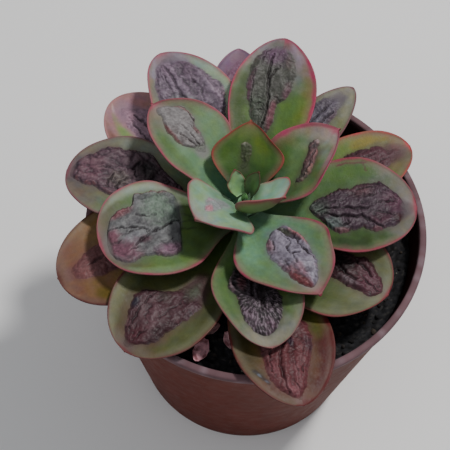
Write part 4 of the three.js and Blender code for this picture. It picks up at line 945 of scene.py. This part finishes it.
# Bud: a few closed young leaves, folded round each other, on the end of the stem.
def build_bud():
    rows, columns = 16, 14
    t, a = np.linspace(0, 1, rows)[:, None], circle(columns)[None, :]
    points, colours, faces = [], [], []
    # Turn in radians, lean, width and height of each.
    leaves = [(0.4, 0.25, 1.6, 4.9), (2.5, 0.3, 1.5, 4.4), (4.6, 0.32, 1.4, 4.6)]
    for k, (turn, lean, wide, tall) in enumerate(leaves):
        r = wide * np.sin(np.pi * (0.14 + 0.84 * t)) ** 0.9
        centre = 0.55 + lean * tall * 0.12 * np.sin(np.pi * t)
        x, y = turned(centre + r * 0.42 * np.sin(a), r * np.cos(a), turn)
        x, y = STEM_X + x * (1 - 0.55 * t ** 2), STEM_Y + y * (1 - 0.55 * t ** 2)
        points.append(np.stack([x, y, POT_HEIGHT + STEM_TOP + 0.3 + tall * t + 0 * a], -1))
        colours.append(mix((80, 124, 62), (108, 150, 98), t + 0 * a))
        faces.append(grid_faces(rows, columns, True, k * rows * columns))
    build_piece("bud_heart", points, np.concatenate(faces), colours, HEART, "bud", "heart_leaf")


build_bud()


# Pot: turned wall, lip, foot ring and hub, with its drain holes cut through.
def pot_radius(z):
    return BASE_RADIUS + (RIM_RADIUS - 1.2 - BASE_RADIUS) * z / (POT_HEIGHT - LIP_HEIGHT)


def build_pot():
    floor_top = GROOVE_DEPTH + FLOOR_THICKNESS
    foot = BASE_RADIUS - FOOT_WIDTH
    under, top = POT_HEIGHT - LIP_HEIGHT, POT_HEIGHT
    rim, lip_inner = RIM_RADIUS, RIM_RADIUS - LIP_WIDTH
    outer = [(4.0, 0.0), (HUB_RADIUS - 0.4, 0.0), (HUB_RADIUS, 0.3), (HUB_RADIUS + 1.5, GROOVE_DEPTH),
             (28, GROOVE_DEPTH), (foot - 8, GROOVE_DEPTH), (foot - 1.5, GROOVE_DEPTH), (foot, 0.3),
             (foot + 0.4, 0.0), (BASE_RADIUS - 0.6, 0.0), (BASE_RADIUS, 0.6)]
    outer += [(pot_radius(z) + 0.05 * math.sin(z * 0.9), z) for z in np.linspace(2, under - 1.2, 40)]
    outer += [(pot_radius(under - 0.5), under - 0.5), (pot_radius(under) + 0.1, under),
              (rim - 0.45, under + 0.5), (rim - 0.12, under + 1.0), (rim, under + 2.0), (rim, top - 0.9),
              (rim - 0.25, top - 0.3), (rim - 0.8, top), (lip_inner + 0.7, top),
              (lip_inner + 0.2, top - 0.25), (lip_inner, top - 0.8)]
    inner = [(pot_radius(z) - WALL, z) for z in np.linspace(under, floor_top, 24)]
    inner += [(30, floor_top), (4.0, floor_top)]
    outline = np.array(outer + inner, float)
    rows, sides = len(outline), 192
    a = circle(sides)
    r, z = outline.T[..., None]
    noise = Noise(77)
    around = a[None, :] * 60 / (2 * np.pi)
    rough = noise.fbm(around + 0 * z, z / 8, 4)
    stain = noise.fbm(around * 0.4 + 9, z / 30 + 2 + 0 * around, 3)
    wall = srgb((89, 40, 31)) * (1 + 0.10 * rough)[..., None]
    wall = mix(wall, (106, 54, 46), 0.4 * smooth(0.0, 0.8, stain))
    inside = (np.arange(rows)[:, None] >= len(outer)) + 0 * a
    lip = smooth(under - 1, under + 1, z) * (1 - inside)
    wall = mix(wall, srgb((104, 82, 88)) * (1 + 0.15 * rough)[..., None], 0.85 * lip)
    # The inside of the wall is darker than the outside: painted shade in the pot.
    wall = mix(wall, (56, 30, 28), inside * 0.9)
    dusty = smooth(0.1, 0.7, noise.fbm(around * 1.7, z / 3 + 5, 3)) * lip
    wall = mix(wall, (138, 122, 130), 0.4 * dusty)
    # The hole in the middle of hub and floor closes with a disc on each side; the one inside the pot is
    # darker, painted shade.
    points = np.concatenate([rings(r, a, z).reshape(-1, 3), [[0, 0, 0.0], [0, 0, floor_top]]])
    tint = np.concatenate([wall.reshape(-1, 3), [srgb((98, 56, 50)), srgb((60, 34, 32))]])
    n, last = len(points), (rows - 1) * sides
    j = np.arange(0, sides, 2)
    here, next_, after = j, (j + 1) % sides, (j + 2) % sides
    low = np.stack([np.full(j.shape, n - 2), after, next_, here], -1)
    high = np.stack([np.full(j.shape, n - 1), last + here, last + next_, last + after], -1)
    faces = np.concatenate([grid_faces(rows, sides, True), low, high])
    pot = build_piece("pot_wall", points, faces, tint, POT, "pot", "pot")
    for x, y, z in rings(DRAIN_CIRCLE, circle(DRAIN_COUNT), floor_top - FLOOR_THICKNESS / 2):
        bpy.ops.mesh.primitive_cylinder_add(vertices=32, radius=DRAIN_RADIUS * MM,
                                            depth=4 * FLOOR_THICKNESS * MM, location=(x * MM, y * MM, z * MM))
        cutter = bpy.context.object
        cut = pot.modifiers.new("drain", "BOOLEAN")
        cut.operation = "DIFFERENCE"
        cut.solver = "EXACT"
        cut.object = cutter
        bpy.context.view_layer.objects.active = pot
        bpy.ops.object.modifier_apply(modifier=cut.name)
        bpy.data.objects.remove(cutter, do_unlink=True)


build_pot()


# Soil: a crumbly face with grains standing out of it, and a few pale grains of perlite.
def soil_shape(x, y, noise):
    lump = 0.9 * noise.fbm(x / 9, y / 9, 2) + 0.6 * noise.fbm(x / 3, y / 3, 2)
    near, _ = noise.cells(x / 2.3, y / 2.3)
    small, _ = noise.cells(x / 1.1 + 9, y / 1.1)
    return lump + 1.3 * np.clip(0.75 - near, 0, 1) + 0.45 * np.clip(0.7 - small, 0, 1)


def build_soil():
    noise = Noise(91)
    top = POT_HEIGHT - SOIL_DROP
    bottom = 6.3
    edge = float(pot_radius(top)) - WALL - 0.35
    hole = STEM_RADIUS + 0.2
    rows, sides = 110, 420
    s, a = np.linspace(0, 1, rows)[:, None] ** 0.85, circle(sides)[None, :]
    r = hole + (edge - hole) * s
    x, y = STEM_X * (1 - s) + r * np.cos(a), STEM_Y * (1 - s) + r * np.sin(a)
    z = top + soil_shape(x, y, noise) - 0.8
    z = z + 1.6 * smooth(4.0, 0.0, edge - r) * (0.4 + 0.6 * noise.fbm(x / 6, y / 6, 2))
    points = [np.stack([x, y, z], -1), rings(edge + 0.1, a, top - 3.0),
              rings(float(pot_radius(bottom)) - WALL - 0.5, a, bottom), rings(1.0, a, bottom)]
    points = np.concatenate(points)
    x, y = points[..., 0], points[..., 1]
    near, _ = noise.cells(x / 2.3, y / 2.3)
    tone = mix((33, 33, 36), (60, 58, 56), smooth(0.15, 0.8, noise.fbm(x / 1.4, y / 1.4, 3)))
    # Darker in the gaps between the grains: painted shade.
    tone = mix(tone, (12, 12, 13), smooth(0.35, 0.8, near))
    build_piece("soil_face", points, grid_faces(len(points), sides, True), tone, SOIL, "soil", "soil")

    # Loose crumbs and perlite: small lumpy stones, half sunk in the soil.
    rng = np.random.default_rng(5)
    shape = bmesh.new()
    bmesh.ops.create_icosphere(shape, subdivisions=2, radius=1.0)
    ball = np.array([v.co[:] for v in shape.verts])
    triangles = np.array([[v.index for v in f.verts] for f in shape.faces])
    shape.free()

    def scatter(name, count, low, high, tones, material, sink):
        points, colours = [], []
        while len(points) < count:
            px, py = rng.uniform(-edge, edge, 2)
            if math.hypot(px, py) > edge - 1.5 or math.hypot(px - STEM_X, py) < hole + 2:
                continue
            size, squash = rng.uniform(low, high), rng.uniform(0.55, 1.0, 3)
            spin = rng.uniform(0, 2 * np.pi)
            bx, by, bz = ball.T
            rough = 1 + 0.22 * noise.grad(bx * 1.3 + len(points), by * 1.3 + bz * 0.9)
            qx, qy, qz = (ball * rough[:, None] * squash * size).T
            qx, qy = turned(qx, qy, spin)
            ground = top - 0.8 + float(soil_shape(px, py, noise))
            points.append(np.stack([px + qx, py + qy, ground + qz + sink * size], -1))
            tone = srgb(tones[rng.integers(len(tones))]) * rng.uniform(0.8, 1.15)
            colours.append(np.broadcast_to(tone, ball.shape))
        faces = np.concatenate([triangles + k * len(ball) for k in range(count)])
        build_piece(name, points, faces, colours, material, None, "soil")

    scatter("soil_crumbs", 420, 0.5, 1.7, [(34, 32, 32), (48, 44, 42), (24, 23, 24), (60, 53, 46)], SOIL, 0.1)
    scatter("soil_perlite", 46, 0.35, 0.95, [(150, 148, 138), (128, 124, 112), (112, 112, 100)], STONE, 0.25)


build_soil()


# Stem: a short trunk with the scars of shed leaves.
def build_stem():
    noise = Noise(33)
    rows, sides = 120, 64
    h, a = np.linspace(STEM_BOTTOM, STEM_TOP, rows)[:, None], circle(sides)[None, :]
    r = stem_radius(h) * (1 - 0.05 * np.abs(np.sin(h * 1.9 + 0.6 * np.sin(2 * a))) * smooth(-13, -9, h))
    r = r * (1 + 0.02 * noise.fbm(a * 3 + 0 * h, h / 3, 3))
    r = np.where(h > STEM_TOP - 0.9, r * (1 - 0.5 * (h - STEM_TOP + 0.9)), r)
    # Brown below and pale green above; the top is made paler still, painted light that makes up for the shade
    # among the leaves at the heart.
    tone = mix((96, 84, 62), (150, 196, 152), smooth(-8, 12, h) + 0 * a)
    tone = tone * (1 + 0.2 * noise.fbm(a * 4 + 0 * h, h / 2, 3))[..., None]
    points = rings(r, a, POT_HEIGHT + h, STEM_X, STEM_Y)
    build_piece("stem_bark", points, grid_faces(rows, sides, True), tone, STEM, "stem", "stem")


build_stem()

# Shed leaves: thin, dry and curled, on the soil in front. Their place, azimuth, length, width, curl, height
# over the soil and colour.
# Their colours are much paler than dry leaves are: painted light that makes up for the shade of the leaves
# over them.
SHED = {
    "shed_leaf_1": (-21, -56.5, 250, 11, 6.5, 1.4, 0.05, (240, 180, 192)),
    "shed_leaf_2": (-17, -46.5, 215, 8, 4, 1, 0.15, (214, 166, 168)),
    "shed_leaf_3": (-9.5, -51.5, 110, 8, 4, 1.2, 0.35, (226, 176, 182)),
}


def build_shed(name):
    x0, y0, azimuth, length, width, curl, height, colour = SHED[name]
    noise = Noise(len(name) + int(name[-1]) * 3)
    rows, columns = 36, 20
    t, v = np.linspace(0, 1, rows)[:, None], np.linspace(-1, 1, columns)[None, :]
    half = np.maximum(0.35, width / 2 * np.sin(np.pi * (0.08 + 0.86 * t)) ** 0.8)
    half = half * (1 + 0.08 * noise.grad(t * 6, 1.5))
    along, across = (t - 0.5) * length + 0 * v, v * half
    wrinkle = 0.35 * noise.fbm(along / 2.5, across / 1.6, 3)
    x, y = turned(along, across, math.radians(azimuth))
    z = POT_HEIGHT - SOIL_DROP + height + curl * ((2 * t - 1) ** 2 * 0.6 + v * v * 0.5)
    z = z + wrinkle * (1 - 0.3 * v * v)
    upper = np.stack([x0 + x, y0 + y, z + 0.9], -1)
    lower = np.stack([x0 + x, y0 + y, z + 0.45 - 0.25 * (1 - v * v)], -1)[:, ::-1]
    fade = noise.fbm(along / 3, across / 3, 3)
    tone = mix(colour, (166, 106, 114), smooth(-0.1, 0.7, fade))
    tone = mix(tone, (246, 208, 214), 0.5 * smooth(0.2, 0.8, -fade))
    build_piece(name + "_dry", np.concatenate([upper, lower], axis=1), grid_faces(rows, 2 * columns, True),
                np.concatenate([tone, tone[:, ::-1] * 0.7], axis=1), DRY, name, "dry_leaf")


for name in SHED:
    build_shed(name)


# Floor, light and camera.
def build_stage():
    size = 6.0
    mesh = bpy.data.meshes.new("floor")
    corners = [(-size, -size, 0), (size, -size, 0), (size, size, 0), (-size, size, 0)]
    mesh.from_pydata(corners, [], [(0, 1, 2, 3)])
    floor = bpy.data.objects.new("floor", mesh)
    bpy.context.scene.collection.objects.link(floor)
    material = bpy.data.materials.new("floor_pale")
    material.use_nodes = True
    shader = material.node_tree.nodes["Principled BSDF"]
    shader.inputs["Base Color"].default_value = (0.86, 0.86, 0.86, 1)
    shader.inputs["Roughness"].default_value = 0.9
    shader.inputs["Specular IOR Level"].default_value = 0.1
    mesh.materials.append(material)

    world = bpy.context.scene.world or bpy.data.worlds.new("world")
    bpy.context.scene.world = world
    world.use_nodes = True
    background = world.node_tree.nodes["Background"]
    background.inputs["Color"].default_value = (0.95, 0.97, 1.0, 1)
    background.inputs["Strength"].default_value = 0.34


def build_light(name, azimuth, elevation, distance, size, power, colour):
    data = bpy.data.lights.new(name, "AREA")
    data.shape = "DISK"
    data.size = size
    data.energy = power
    data.color = colour
    light = bpy.data.objects.new(name, data)
    a, e = math.radians(azimuth), math.radians(elevation)
    target = Vector((0, 0, 0.13))
    place = target + distance * Vector((math.cos(a) * math.cos(e), math.sin(a) * math.cos(e), math.sin(e)))
    light.location = place
    light.rotation_euler = (target - place).to_track_quat("-Z", "Y").to_euler()
    bpy.context.scene.collection.objects.link(light)


build_stage()
build_light("key", azimuth=32, elevation=65, distance=1.4, size=0.2, power=16.5, colour=(1.0, 0.98, 0.95))
build_light("fill", azimuth=230, elevation=60, distance=1.6, size=1.2, power=4, colour=(0.95, 0.97, 1.0))

# Camera: looks down at 59.8 degrees, with a roll of 3.06 degrees, at 460 mm from the rim's middle, which
# lies at CENTRE in the picture. The rim's half width there is 170.8 pixels.
ELEVATION = math.radians(59.8)
ROLL = math.radians(3.06)
DISTANCE = 460.0
PICTURE = 450.0
CENTRE = (256.3, 221.6)
FOCAL = 170.8 * DISTANCE / RIM_RADIUS
SENSOR = 36.0
back = np.array([0, -math.cos(ELEVATION), math.sin(ELEVATION)])
across, above = np.array([1.0, 0, 0]), np.array([0, math.sin(ELEVATION), math.cos(ELEVATION)])
right = math.cos(ROLL) * across + math.sin(ROLL) * above
upward = -math.sin(ROLL) * across + math.cos(ROLL) * above
off_x, off_y = ((c - PICTURE / 2) / FOCAL * DISTANCE for c in CENTRE)
place = (back * DISTANCE - right * off_x + upward * off_y + np.array([0, 0, POT_HEIGHT])) * MM
camera_data = bpy.data.cameras.new("camera")
camera_data.sensor_fit = "HORIZONTAL"
camera_data.sensor_width = SENSOR
camera_data.lens = FOCAL / PICTURE * SENSOR
camera_data.clip_start = 0.01
camera = bpy.data.objects.new("camera", camera_data)
camera.matrix_world = Matrix([[*row] for row in zip(right, upward, back, place)] + [[0, 0, 0, 1]])
bpy.context.scene.collection.objects.link(camera)
bpy.context.scene.camera = camera
